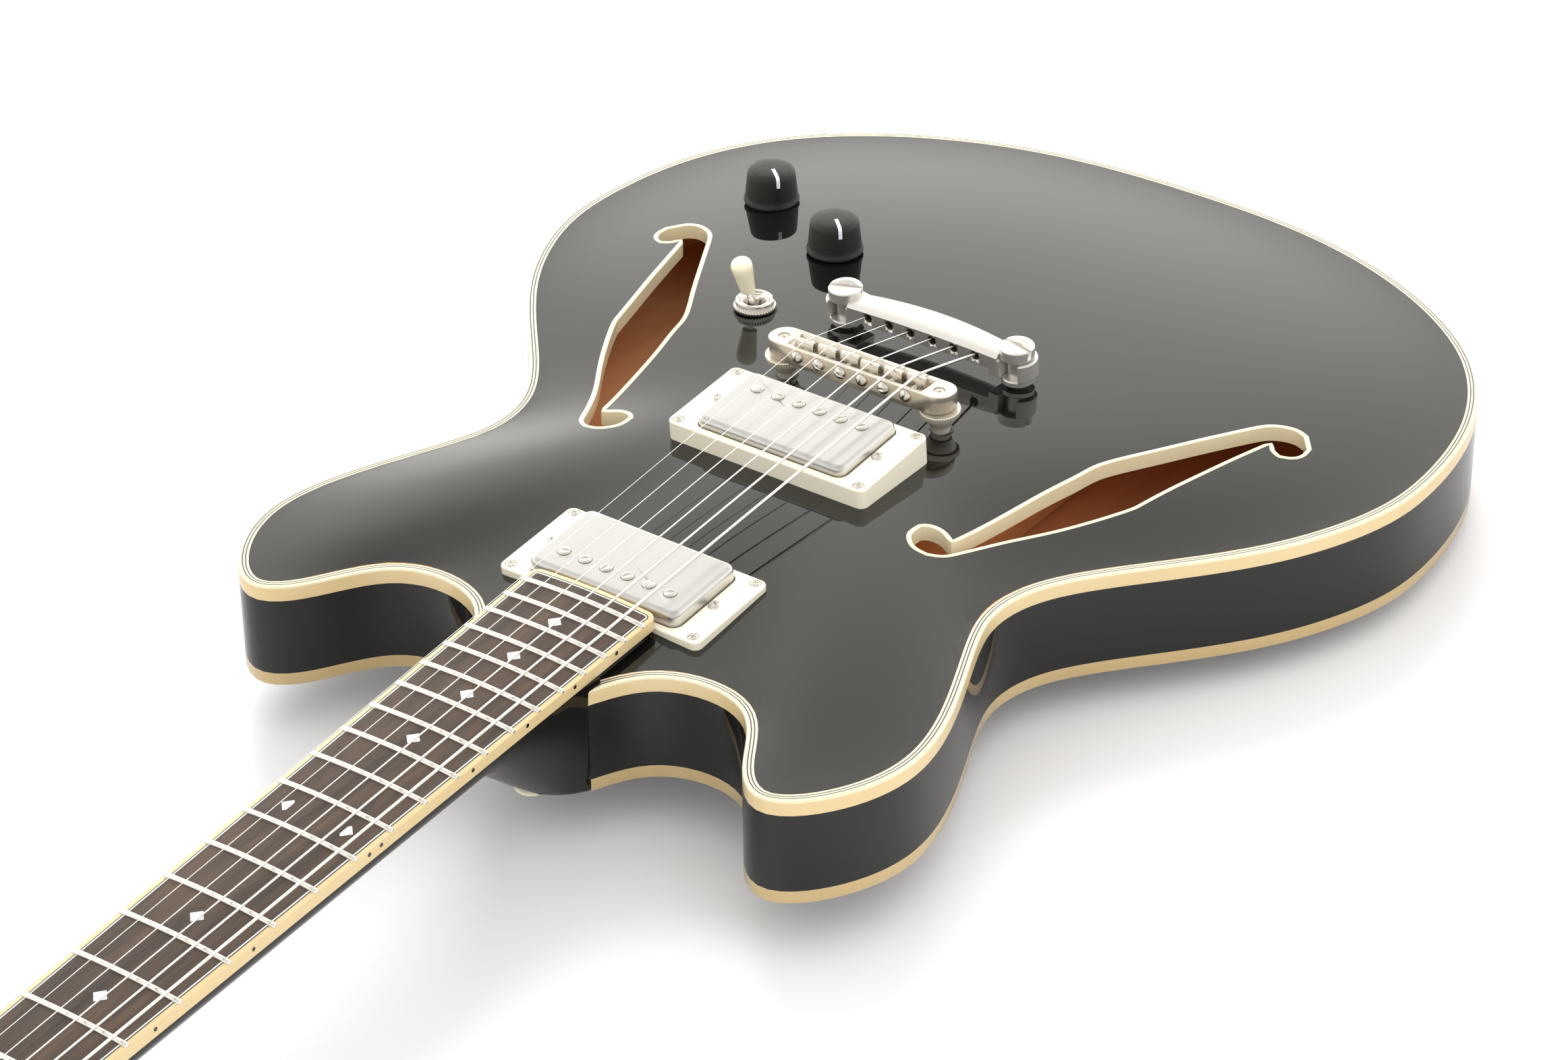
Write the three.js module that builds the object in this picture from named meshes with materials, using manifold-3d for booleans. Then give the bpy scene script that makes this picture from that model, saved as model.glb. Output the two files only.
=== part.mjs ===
// A semi-hollow electric guitar lying on its back, in millimetres, +Z up out of its top.
// X runs across the body, with the bass strings on +X. Y runs along it, with the headstock on -Y.
// The origin is on the flat middle of the back, under the line where the strings leave the bridge.
import * as THREE from "three";
import { mergeVertices } from "three/addons/utils/BufferGeometryUtils.js";
import Module from "manifold-3d";

const wasm = await Module();
wasm.setup();

// Fits shared by the whole instrument
const GAP = 0.3; // between two pieces that touch
const OVERRUN = 5; // how far a cutter runs past the face that it opens
const WELD = 0.001; // vertices closer than this are one
const SINK = 0.5; // how deep a joined detail reaches into what carries it

// Body
const BODY_HALF_WIDTH = 203;
const BODY_LENGTH = 469;
const HORN_Y = -225.5; // the front ends of the two horns
const RIM_HEIGHT = 44;
const BACK_RISE = 9; // how far the arched back drops below its edge
const TOP_RISE = 9.5; // how far the arched top climbs above its edge
const ARCH_CENTRE_Y = 12;
const TOP_THICKNESS = 6.2;
const BACK_THICKNESS = 5.5;
const BINDING_WIDTH = 4.2;
const RIM_WALL = 2.8;
const LINING_WIDTH = 9; // from the outer face to the inner face of the lining
const LINING_HEIGHT = 9;
const BLOCK_HALF_WIDTH = 57;
const EDGE_Z = BACK_RISE + RIM_HEIGHT;
const RIM_TOP = EDGE_Z - TOP_THICKNESS - GAP;
const RIM_BOTTOM = BACK_RISE + BACK_THICKNESS + GAP;

// Half of the body's outline from the neck to the tail, as shares of half the width and of the length
const outlineShares = [
  [0.14, 0.035], [0.2, 0.077], [0.305, 0.0935], [0.413, 0.0765], [0.505, 0.0195], [0.581, 0],
  [0.67, 0.028], [0.7305, 0.097], [0.69, 0.184], [0.611, 0.265], [0.585, 0.31], [0.613, 0.361],
  [0.744, 0.435], [0.897, 0.5205], [0.985, 0.609], [1, 0.677], [0.9655, 0.771], [0.8375, 0.871],
  [0.591, 0.95], [0.305, 0.9905], [0, 1],
];
const OUTLINE_STEPS = 60;
// The arch's rings, as shares of the way from its centre to the plate's edge
const topRingShares = [0, 0.4, 0.65, 0.85, 1];
const underRingShares = [1, 0.7, 0];
const backRingShares = [0, 0.3, 0.65, 0.85, 1];
const ARCH_POWER = 3.5; // how long the arch stays high
const ARCH_TURN = 1.5; // how softly it meets the edge
const BACK_FLAT_SHARE = 0.3; // the back is flat as far out as this share

// Strings and neck, in the frame of the fret tops: y = 0 at the bridge, z = 0 on the frets
const SCALE_LENGTH = 628.65;
const FRET_COUNT = 22;
const FRETS_PER_OCTAVE = 12;
const NECK_TILT = 0.0765; // radians that the neck leans back from the body
const FRET_PLANE_HEIGHT = 25.4; // of the fret plane above the body's edge, at the bridge
const FRET_HEIGHT = 1.1;
const FRET_WIDTH = 2.4;
const FRET_END_INSET = 0.4;
const FRET_SINK = 0.1; // of a fret's underside below the board's surface
const BOARD_THICKNESS = 5.5;
const BOARD_RADIUS = 305;
const BOARD_NUT_HALF = 20.9;
const BOARD_END_HALF = 28.6;
const BOARD_END_Y = -168;
const BOARD_CORNER = 4;
const BOARD_BINDING = 2;
const boardStationShares = [-1, -0.5, 0, 0.5, 1];
const NECK_HALF_INSET = 0.9; // the neck is this much narrower than the board on each side
const NECK_END_Y = -171.5;
const NECK_DEPTH_NUT = 14;
const NECK_DEPTH_HEEL = 17.5;
const NECK_FULLNESS = 0.8; // below one, the neck's back is rounder than an ellipse
const TENON_BOTTOM = -38;
const NECK_STEPS = 12;
const HEEL_STEPS = 6;
const HEEL_START_Y = -262;
const HEEL_LENGTH = 50;
const HEEL_DEPTH = 62; // before the heel's cap is cut flat
const HEEL_DROP_POWER = 1.3;
const HEEL_FULLNESS = 0.55; // the heel gets squarer towards the body
const NUT_LENGTH = 5;
const NUT_HEIGHT = 1.6; // above the fret plane
const NUT_STRING_SPAN = 36;
const NUT_FALL_SHARE = 0.42; // how steeply the slots fall to the headstock
const ROD_RADIUS = 2.5;
const ROD_DEPTH = 8.4; // of the rod's centre below the top of the neck
const ROD_END_Y = -250;
const ROD_NUT_RADIUS = 3.6;
const ROD_NUT_LENGTH = 9;
const ROD_NUT_START = 12.5; // from the front of the nut

// Headstock, in a frame of its own: y = 0 at the front of the nut, z = 0 on its face
const HEAD_TILT = 0.245;
const HEAD_LENGTH = 176;
const HEAD_THICKNESS = 14.5;
const HEAD_STEP = 5.6; // of its face below the fret plane at the nut
const HEAD_HALF_WIDTH = 40;
const headShares = [
  [0.515, 0], [0.56, -0.1], [0.82, -0.22], [0.95, -0.5], [1, -0.86], [0.86, -0.965],
  [0.5, -1], [0, -0.985],
];
const HEAD_ROOT = 12; // how far the neck's shaft reaches into the headstock
const ROD_COVER_HALF_WIDTH = 13;
const ROD_COVER_LENGTH = 34;
const ROD_COVER_THICKNESS = 2;
const ROD_COVER_START = 5; // from the nut
const rodCoverShares = [
  [-0.35, -1], [0.35, -1], [0.5, -0.55], [1, -0.2], [1, 0], [-1, 0], [-1, -0.2], [-0.5, -0.55],
];

// Tuners, in the headstock's frame
const TUNER_FIRST = 44; // from the nut to the first pair of posts
const TUNER_PITCH = 40;
const TUNER_SPREADS = [24.5, 26.5, 28.5]; // half the distance between the posts of each pair
const POST_RADIUS = 3;
const POST_HEIGHT = 15; // above the headstock's face
const POST_WAIST_RADIUS = 2.5;
const WRAP_LOW = 6.5; // the string's turns lie between these heights on the post
const WRAP_HIGH = 10.5;
const WRAP_TURNS = 2;
const WRAP_SIDES = 8;
const WRAP_MARGIN = 1; // of the waist above and below the turns
const PLATE_THICKNESS = 1.4;
const PLATE_WIDTH = 15;
const PLATE_MARGIN = 12; // of the plate beyond the outer posts
const HOUSING_DEPTH = 8;
const HOUSING_WALL = 1.2;
const WORM_RADIUS = 2.2;
const GEAR_RADIUS = 4.2;
const GEAR_THICKNESS = 4;
const KEY_SHAFT_RADIUS = 1.6;
const KEY_REACH = 21; // from the post to the button's middle
const BUTTON_LENGTH = 14;
const BUTTON_WIDTH = 18;
const BUTTON_CORNER = 5;
const BUTTON_THICKNESS = 7.5;

// Strings, from the thinnest to the thickest
const STRING_SIDES = 6;
const STRING_RADII = [0.13, 0.17, 0.22, 0.33, 0.46, 0.59];
const BRIDGE_SPACING = 10.3;
const NUT_STRING_Z = 0.6;
const SADDLE_CREST = 3.9;

// Bridge, in the frame of the fret tops
const BRIDGE_POST_SPACING = 74;
const BRIDGE_HALF_LENGTH = 44;
const BRIDGE_FRONT = 6.9; // from the string line forwards
const BRIDGE_REAR = 8.4;
const BRIDGE_DECK = 3.3; // of its front edge, in the frame of the fret tops
const BRIDGE_REAR_DROP = 2; // of the deck's rear edge, clear of the strings
const BRIDGE_HEIGHT = 8.9;
const BRIDGE_FLOOR = 1.6;
const BRIDGE_END_SHARE = 0.97; // of half the width that each end's corner takes
const BRIDGE_SLOT_HALF_LENGTH = 32.2;
const BRIDGE_SLOT_FRONT = 5.6;
const BRIDGE_SLOT_REAR = 5.6;
const SADDLE_LENGTH = 8.6; // across the strings
const SADDLE_HALF_WIDTH = 2.6; // along the strings
const SADDLE_SHOULDER = 2.4; // from the crest down to the saddle's upright sides
const saddleRest = [-0.9, -0.3, 0.5, -0.6, 0.5, 1.5]; // y of each crest
const SADDLE_CREST_HALF = 0.4;
const SADDLE_SCREW_RADIUS = 1.1;
const SADDLE_SCREW_Z = 0.4;
const SADDLE_HEAD_RADIUS = 2.6;
const SADDLE_HEAD_PROUD = 1;
const WHEEL_RADIUS = 8.2;
const WHEEL_THICKNESS = 3.4;
const BRIDGE_POST_RADIUS = 3.8;
const BRIDGE_PIN_RADIUS = 2.9;
const BRIDGE_PIN_TOP = 2.1;
const BRIDGE_POST_DEPTH = 24; // below the wheel
const BRIDGE_TRAVEL = 2.5; // that its posts can be screwed down

// Tailpiece
const STUD_SPACING = 82.55;
const TAIL_Y = 47.3;
const TAIL_TOP = -2;
const STUD_HEAD_RADIUS = 7;
const STUD_HEAD_HEIGHT = 5;
const STUD_NECK_RADIUS = 4;
const STUD_NECK_HEIGHT = 8.6;
const STUD_FLANGE_RADIUS = 6.8;
const STUD_FLANGE_HEIGHT = 2.2;
const STUD_DEPTH = 22;
const BAR_HALF_LENGTH = 35.5;
const BAR_FRONT_Y = 40.2;
const BAR_DEPTH = 16.4; // along the strings
const BAR_TOP = -3.8;
const BAR_HEIGHT = 8.6;
const barShares = [
  [0.1, -1], [0.75, -1], [1, -0.75], [1, -0.42], [0.8, -0.12], [0.45, 0], [0.2, -0.07], [0, -0.3],
];
const LUG_RADIUS = 8.2;
const STRING_HOLE_RADIUS = 1.7;
const STRING_HOLE_DROP = 4.7; // below the bar's top
const BALL_RADIUS = 1.9;
const BALL_LENGTH = 2.6;
const BALL_POCKET_RADIUS = 2.7;
const BALL_SINK = 6; // from the bar's rear to the ball's middle

// Pickups
const RING_HALF_LENGTH = 46.4;
const RING_HALF_WIDTH = 22.3;
const RING_CORNER = 3;
const RING_SCREW_X = 42.4;
const RING_SCREW_Y = 19.1;
const RING_SCREW_RADIUS = 2.6;
const RING_SCREW_PROUD = 0.5;
const COVER_X = 34.6;
const COVER_Y = 19;
const COVER_DEPTH = 17;
const COVER_CORNER = 3.5;
const POLE_SPACING = 9.87;
const POLE_RADIUS = 2.5;
const POLE_OFFSET = 8.6; // from the pickup's middle
const POLE_PROUD = 0.5;
const LUG_REACH = 38; // half the distance between the height screws
const LUG_HALF_WIDTH = 6;
const LEG_THICKNESS = 2;
const LEG_TIP = 3; // of the leg beyond its screw
const HEIGHT_SCREW_RADIUS = 1.4;
const HEIGHT_SCREW_LENGTH = 26;
const HEIGHT_HEAD_RADIUS = 2.3;
const NECK_PICKUP = { y: -147, ringTop: -7.6, coverTop: -1.7, poleSide: -1 };
const BRIDGE_PICKUP = { y: -43.1, ringTop: -3.1, coverTop: 1, poleSide: 1 };
const PICKUP_CLEARANCE = 0.6; // between a cover and its ring
const CAVITY_MARGIN = 1.2;
const CAVITY_FLOOR = 34; // below the fret plane

// Controls
const KNOB_BASE_RADIUS = 11.9;
const KNOB_FLANGE = 1.2;
const KNOB_SKIRT_RADIUS = 11.4;
const KNOB_TOP_RADIUS = 9.8;
const KNOB_DOME = 1.1;
const KNOB_HEIGHT = 15.5;
const KNOB_SEAT = 1; // of the knob above the top
const KNOB_RECESS_RADIUS = 7.4;
const KNOB_RECESS_DEPTH = 4;
const SHAFT_RADIUS = 3;
const SHAFT_LENGTH = 13; // below the recess
const POT_RADIUS = 11.5;
const POT_HEIGHT = 9;
const POT_DROP = 2.6; // below the underside of the top
const POT_NECK_RADIUS = 4.7;
const POT_NECK_PROUD = 2.6;
const POT_FLOOR = 2;
// A place on the body, as shares of half its width and of its length from the horns
const placeOf = ([x, y]) => [x * BODY_HALF_WIDTH, HORN_Y + y * BODY_LENGTH];
const VOLUME_PLACE = placeOf([-0.402463, 0.686354]);
const TONE_PLACE = placeOf([-0.657143, 0.741791]);
const SWITCH_PLACE = placeOf([-0.392611, 0.561407]);
const SWITCH_WASHER_RADIUS = 9;
const SWITCH_SEAT = 0.5;
const SWITCH_WASHER = 1.3;
const SWITCH_NUT_RADIUS = 7.9;
const SWITCH_NUT = 2.6;
const SWITCH_THREAD_RADIUS = 5.8;
const SWITCH_BOX_SIZE = [14, 22, 18];
const SWITCH_DROP = 3; // of the box below the underside of the top
const SWITCH_MOUTH_RADIUS = 4.9;
const SWITCH_BORE_RADIUS = 3.3;
const SWITCH_PIVOT_DROP = 9; // of the pivot below the nut's top
const LEVER_TILT = 0.253;
const LEVER_HEADING = -2.02; // the way the lever leans, measured from +X
const LEVER_RADIUS = 1.5;
const LEVER_BALL = 2.7;
const LEVER_LENGTH = 26; // from the pivot to the lever's end
const TIP_START = 14.5; // from the pivot to the tip's lower end
const TIP_LENGTH = 14.5;
const TIP_LOW_RADIUS = 3.1;
const TIP_HIGH_RADIUS = 4.1;
const JACK_Y = placeOf([0, 0.676972])[1];
const JACK_FLANGE_RADIUS = 10;
const JACK_FLANGE = 1.6;
const JACK_BARREL_RADIUS = 6;
const JACK_BORE_RADIUS = 3.25;
const JACK_BORE_DEPTH = 20;
const JACK_LENGTH = 24;
const JACK_STANDOFF = 0.9; // from the rim's widest line to the flange
const BUTTON_STAND = 13; // height of the strap button on the tail
const HEEL_BUTTON_STAND = 9.5;
const STRAP_FLANGE_RADIUS = 7.5;
const STRAP_FLANGE = 2.5;
const STRAP_WAIST_RADIUS = 3.6;
const STRAP_BASE_RADIUS = 6;
const STRAP_BASE = 2;
const STRAP_SEAT = 0.5;
const HEEL_BUTTON_Y = -214.5;

// A sound hole's outline, from its front hook round to the front hook again
const HOLE_CENTRE = placeOf([0.551724, 0.497868]);
const HOLE_SIZE = [0.224138 * BODY_HALF_WIDTH, 0.172708 * BODY_LENGTH]; // from its middle to each side
const holeShares = [
  [-0.98, -0.86], [-0.975, -0.82], [-0.92, -0.785], [-0.82, -0.77], [-0.73, -0.78], [-0.65, -0.805],
  [-0.62, -0.72], [-0.52, -0.44], [-0.43, -0.2], [-0.345, -0.01], [-0.29, 0.115], [-0.07, 0.345],
  [0.18, 0.6], [0.375, 0.8], [0.5, 0.915], [0.605, 0.962], [0.75, 0.985], [0.87, 0.965], [0.99, 0.88],
  [1, 0.8], [0.94, 0.74], [0.835, 0.71], [0.735, 0.735], [0.685, 0.775], [0.64, 0.68], [0.565, 0.52],
  [0.485, 0.345], [0.4, 0.165], [0.32, -0.02], [0.285, -0.085], [0.07, -0.32], [-0.13, -0.505],
  [-0.31, -0.665], [-0.485, -0.865], [-0.57, -0.955], [-0.68, -1], [-0.81, -1], [-0.91, -0.965],
  [-0.97, -0.915],
];
const HOLE_BINDING = 1.6;

// A closed geometry as a solid that can be cut and joined.
function solid(geometry) {
  const loose = geometry.index ? geometry.toNonIndexed() : geometry;
  const bare = new THREE.BufferGeometry().setAttribute("position", loose.getAttribute("position"));
  const merged = mergeVertices(bare, WELD);
  const corners = merged.index.array;
  const kept = [];
  for (let i = 0; i < corners.length; i += 3) {
    const [a, b, c] = corners.slice(i, i + 3);
    if (a !== b && b !== c && c !== a) kept.push(a, b, c);
  }
  return new wasm.Manifold(new wasm.Mesh({
    numProp: 3,
    vertProperties: merged.getAttribute("position").array,
    triVerts: new Uint32Array(kept),
  }));
}

function geometryOf(body) {
  const mesh = body.getMesh();
  const places = new Float32Array(mesh.numVert * 3);
  for (let i = 0; i < mesh.numVert; i++) {
    places.set(mesh.vertProperties.subarray(i * mesh.numProp, i * mesh.numProp + 3), i * 3);
  }
  return new THREE.BufferGeometry()
    .setAttribute("position", new THREE.BufferAttribute(places, 3))
    .setIndex(new THREE.BufferAttribute(mesh.triVerts, 1));
}

const joined = (first, ...more) => more.reduce((body, next) => body.add(next), first);
const cut = (first, ...more) => more.reduce((body, next) => body.subtract(next), first);

// A straight prism over a closed outline.
function prism(points, low, high) {
  return new THREE.ExtrudeGeometry(new THREE.Shape(points), {
    depth: high - low,
    bevelEnabled: false,
  }).translate(0, 0, low);
}

const pairs = (list) => list.map(([a, b]) => new THREE.Vector2(a, b));
// The same prism laid along the strings from an outline in X and Z, or across them from Y and Z
const along = (points, y0, y1) => prism(points, -y1, -y0).rotateX(Math.PI / 2);
const across = (points, x0, x1) => prism(points, x0, x1).rotateX(Math.PI / 2).rotateZ(Math.PI / 2);

// A turned piece round +Z from [radius, height] pairs that start and end on the axis.
function turned(profile, sides = 20) {
  return new THREE.LatheGeometry(pairs(profile), sides).rotateX(Math.PI / 2);
}

function rod(radius, low, high, sides = 16) {
  return turned([[0, low], [radius, low], [radius, high], [0, high]], sides);
}

function box(x0, x1, y0, y1, z0, z1) {
  return new THREE.BoxGeometry(x1 - x0, y1 - y0, z1 - z0)
    .translate((x0 + x1) / 2, (y0 + y1) / 2, (z0 + z1) / 2);
}

function rounded(halfX, halfY, corner) {
  const centres = [[1, -1], [1, 1], [-1, 1], [-1, -1]];
  return centres.flatMap(([sx, sy], i) => [0, 1, 2, 3].map((step) => {
    const turn = (Math.PI / 2) * (i - 1 + step / 3);
    return new THREE.Vector2(
      sx * (halfX - corner) + corner * Math.cos(turn),
      sy * (halfY - corner) + corner * Math.sin(turn),
    );
  }));
}

// A lathe whose profile points each run round a loop of their own instead of a circle.
function around(loops, closed = false) {
  const profile = loops.map((loop, i) => new THREE.Vector2(1, i));
  if (closed) profile.push(profile[0].clone());
  const sides = loops[0].length;
  const geometry = new THREE.LatheGeometry(profile, sides);
  const places = geometry.getAttribute("position");
  for (let i = 0; i <= sides; i++) {
    for (let j = 0; j < profile.length; j++) {
      const p = loops[j % loops.length][i % sides];
      places.setXYZ(i * profile.length + j, p.x, p.y, p.z);
    }
  }
  return geometry;
}

// A skin through cross-sections of equal count, closed by flat ends.
function loft(sections) {
  const middle = (loop) => loop.reduce((sum, p) => sum.add(p), new THREE.Vector3())
    .divideScalar(loop.length);
  const first = middle(sections[0]);
  const last = middle(sections[sections.length - 1]);
  return around([sections[0].map(() => first), ...sections, sections[0].map(() => last)]);
}

// A route through given points, sampled only at those points.
class Route extends THREE.Curve {
  constructor(points) {
    super();
    this.points = points;
  }

  getSpacedPoints() {
    return this.points;
  }

  getTangentAt(share) {
    const i = Math.round(share * (this.points.length - 1));
    const before = this.points[Math.max(i - 1, 0)];
    const here = this.points[i];
    const after = this.points[Math.min(i + 1, this.points.length - 1)];
    return here.clone().sub(before).normalize()
      .add(after.clone().sub(here).normalize())
      .normalize();
  }
}

function tube(points, radius, sides) {
  const section = [];
  for (let i = 0; i < sides; i++) {
    const turn = (2 * Math.PI * i) / sides;
    section.push(new THREE.Vector2(radius * Math.cos(turn), radius * Math.sin(turn)));
  }
  return new THREE.ExtrudeGeometry(new THREE.Shape(section), {
    steps: points.length - 1,
    bevelEnabled: false,
    extrudePath: new Route(points),
  });
}

// The loop moved inwards by a distance, square to its edges.
function inset(loop, distance) {
  return loop.map((p, i) => {
    const before = loop[(i + loop.length - 1) % loop.length];
    const after = loop[(i + 1) % loop.length];
    const a = new THREE.Vector2().subVectors(p, before).normalize();
    const b = new THREE.Vector2().subVectors(after, p).normalize();
    const way = a.clone().add(b).normalize();
    const reach = distance / Math.max(way.dot(a), Math.SQRT1_2);
    return new THREE.Vector2(p.x - way.y * reach, p.y + way.x * reach);
  });
}

// The body's outline, anticlockwise seen from above, from the neck on the bass side.
function bodyOutline() {
  const half = outlineShares.map(([x, y]) => new THREE.Vector2(
    x * BODY_HALF_WIDTH, HORN_Y + y * BODY_LENGTH,
  ));
  const other = half.slice(0, -1).reverse().map((p) => new THREE.Vector2(-p.x, p.y));
  return new THREE.SplineCurve([...half, ...other]).getPoints(OUTLINE_STEPS);
}

const outline = bodyOutline();
const plateLoop = inset(outline, BINDING_WIDTH + GAP);
const liningLoop = inset(outline, LINING_WIDTH);

const level = (loop, z) => loop.map((p) => new THREE.Vector3(p.x, p.y, z));
const ring = (share, z) => plateLoop.map((p) => new THREE.Vector3(
  p.x * share, ARCH_CENTRE_Y + (p.y - ARCH_CENTRE_Y) * share, z,
));
const archShare = (share) => (1 - share ** ARCH_POWER) ** ARCH_TURN;
const topAt = (share) => EDGE_Z + TOP_RISE * archShare(share);
const backAt = (share) => {
  const out = Math.max(0, (share - BACK_FLAT_SHARE) / (1 - BACK_FLAT_SHARE));
  return BACK_RISE * (1 - archShare(out));
};

// The height of the top's surface at a place on the body.
function surfaceAt([x, y]) {
  const dy = y - ARCH_CENTRE_Y;
  let reach = 1;
  plateLoop.forEach((p, i) => {
    const q = plateLoop[(i + 1) % plateLoop.length];
    const edge = new THREE.Vector2().subVectors(q, p);
    const from = new THREE.Vector2(p.x, p.y - ARCH_CENTRE_Y);
    const cross = x * edge.y - dy * edge.x;
    if (cross === 0) return;
    const out = (from.x * edge.y - from.y * edge.x) / cross;
    const side = (from.x * dy - from.y * x) / cross;
    if (out > 0 && side >= 0 && side <= 1) reach = Math.max(reach, out);
  });
  return topAt(1 / reach);
}

const topSurface = (shift) => topRingShares.map((share) => ring(share, topAt(share) + shift));
const topUnderside = (shift) => underRingShares.map((share) => (
  ring(share, topAt(share) - TOP_THICKNESS + shift)
));
const backInside = (shift) => [...underRingShares].reverse().map((share) => (
  ring(share, backAt(share) + BACK_THICKNESS + shift)
));
const backOutside = () => backRingShares.map((share) => ring(share, backAt(share)));

const plateBlank = () => solid(around([...topSurface(0), ...topUnderside(0)].reverse()));
const underTop = () => solid(around([ring(0, 0), ring(1, 0), ...topSurface(GAP).reverse()]));

// Frames of the fret plane and of the headstock's face
const neckFrame = new THREE.Group();
neckFrame.position.z = EDGE_Z + FRET_PLANE_HEIGHT;
neckFrame.rotation.x = NECK_TILT;
const headFrame = new THREE.Group();
headFrame.position.set(0, -SCALE_LENGTH - NUT_LENGTH, -HEAD_STEP);
headFrame.rotation.x = HEAD_TILT;
neckFrame.add(headFrame);
neckFrame.updateMatrixWorld(true);
const bodyToNeck = neckFrame.matrix.clone().invert();
const solidOnNeck = (geometry) => solid(geometry.applyMatrix4(neckFrame.matrix));
const solidOnHead = (geometry) => solid(geometry.applyMatrix4(headFrame.matrixWorld));

const neckTop = -FRET_HEIGHT - BOARD_THICKNESS - GAP;
const fretY = (n) => -SCALE_LENGTH * 2 ** (-n / FRETS_PER_OCTAVE);
const boardHalf = (y) => BOARD_NUT_HALF
  + ((BOARD_END_HALF - BOARD_NUT_HALF) * (y + SCALE_LENGTH)) / (BOARD_END_Y + SCALE_LENGTH);
const crownDrop = (x) => BOARD_RADIUS - Math.sqrt(BOARD_RADIUS ** 2 - x ** 2);
const fromMiddle = (i) => i - (STRING_RADII.length - 1) / 2;
const nutX = (i) => (fromMiddle(i) * NUT_STRING_SPAN) / (STRING_RADII.length - 1);
const bridgeX = (i) => fromMiddle(i) * BRIDGE_SPACING;
const tenonHalf = boardHalf(HEEL_START_Y + HEEL_LENGTH) - NECK_HALF_INSET;
const outlineFront = outline[0].y;

// What the neck, the pickups and the hardware need out of the body
const topLimit = EDGE_Z + TOP_RISE + OVERRUN;
const neckPocket = () => solidOnNeck(box(
  -tenonHalf - GAP, tenonHalf + GAP, HEEL_START_Y, NECK_END_Y + GAP, TENON_BOTTOM - GAP, BRIDGE_DECK,
));
const bindingGate = () => solid(box(
  -tenonHalf - GAP, tenonHalf + GAP, HORN_Y, HORN_Y + BODY_LENGTH / 8, 0, topLimit,
));
const pickupCavity = ({ y }) => solidOnNeck(box(
  -COVER_X - CAVITY_MARGIN, COVER_X + CAVITY_MARGIN,
  y - COVER_Y - CAVITY_MARGIN, y + COVER_Y + CAVITY_MARGIN, -CAVITY_FLOOR, BRIDGE_DECK,
)).add(solidOnNeck(box(
  -LUG_REACH - LEG_TIP - CAVITY_MARGIN, LUG_REACH + LEG_TIP + CAVITY_MARGIN,
  y - LUG_HALF_WIDTH - CAVITY_MARGIN, y + LUG_HALF_WIDTH + CAVITY_MARGIN, -CAVITY_FLOOR, BRIDGE_DECK,
)));
const wheelTop = BRIDGE_DECK - BRIDGE_HEIGHT - GAP;
const postBottom = wheelTop - WHEEL_THICKNESS - BRIDGE_POST_DEPTH;
const studFlangeTop = TAIL_TOP - STUD_HEAD_HEIGHT - STUD_NECK_HEIGHT;
const studBottom = studFlangeTop - STUD_FLANGE_HEIGHT - STUD_DEPTH;
const pairOfRods = (x, y, radius, low, high) => solidOnNeck(rod(radius, low, high).translate(x, y, 0))
  .add(solidOnNeck(rod(radius, low, high).translate(-x, y, 0)));
const hardwareHoles = () => [
  pairOfRods(BRIDGE_POST_SPACING / 2, 0, BRIDGE_POST_RADIUS + GAP, postBottom - BRIDGE_TRAVEL, 0),
  pairOfRods(STUD_SPACING / 2, TAIL_Y, STUD_NECK_RADIUS + GAP, studBottom - GAP, 0),
];
const topHole = ([x, y], radius) => solid(
  rod(radius + GAP, EDGE_Z - TOP_THICKNESS - OVERRUN, topLimit).translate(x, y, 0),
);

function holeLoop(side) {
  const loop = holeShares.map(([x, y]) => new THREE.Vector2(
    side * (HOLE_CENTRE[0] + x * HOLE_SIZE[0]), HOLE_CENTRE[1] + y * HOLE_SIZE[1],
  ));
  return side > 0 ? loop.reverse() : loop;
}
const holeCutter = (loop) => solid(prism(loop, EDGE_Z - TOP_THICKNESS - OVERRUN, topLimit));

function topPlate() {
  return cut(
    plateBlank(),
    holeCutter(holeLoop(1)), holeCutter(holeLoop(-1)),
    neckPocket(), pickupCavity(NECK_PICKUP), pickupCavity(BRIDGE_PICKUP), ...hardwareHoles(),
    topHole(VOLUME_PLACE, POT_NECK_RADIUS), topHole(TONE_PLACE, POT_NECK_RADIUS),
    topHole(SWITCH_PLACE, SWITCH_THREAD_RADIUS),
  );
}

const backPlate = () => solid(around([...backOutside(), ...backInside(0).reverse()]));

const jackZ = (RIM_TOP + RIM_BOTTOM) / 2;
const facingBass = (geometry) => geometry.rotateY(Math.PI / 2).translate(-BODY_HALF_WIDTH, JACK_Y, jackZ);

function rim() {
  const wallLoop = inset(outline, RIM_WALL);
  const upper = RIM_TOP - LINING_HEIGHT;
  const lower = RIM_BOTTOM + LINING_HEIGHT;
  return cut(
    solid(around([
      level(outline, RIM_BOTTOM), level(outline, RIM_TOP), level(liningLoop, RIM_TOP),
      level(liningLoop, upper), level(wallLoop, upper), level(wallLoop, lower),
      level(liningLoop, lower), level(liningLoop, RIM_BOTTOM),
    ], true)),
    neckPocket(),
    solid(facingBass(rod(JACK_BARREL_RADIUS + GAP, -OVERRUN, JACK_LENGTH))),
  );
}

function binding(low, high) {
  const inner = inset(outline, BINDING_WIDTH);
  return cut(solid(around([
    level(outline, low), level(outline, high), level(inner, high), level(inner, low),
  ], true)), bindingGate());
}

function soundHoleBinding(side) {
  const loop = inset(holeLoop(side), GAP);
  const inner = inset(loop, HOLE_BINDING);
  return plateBlank().intersect(holeCutter(loop).subtract(holeCutter(inner)));
}

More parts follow.
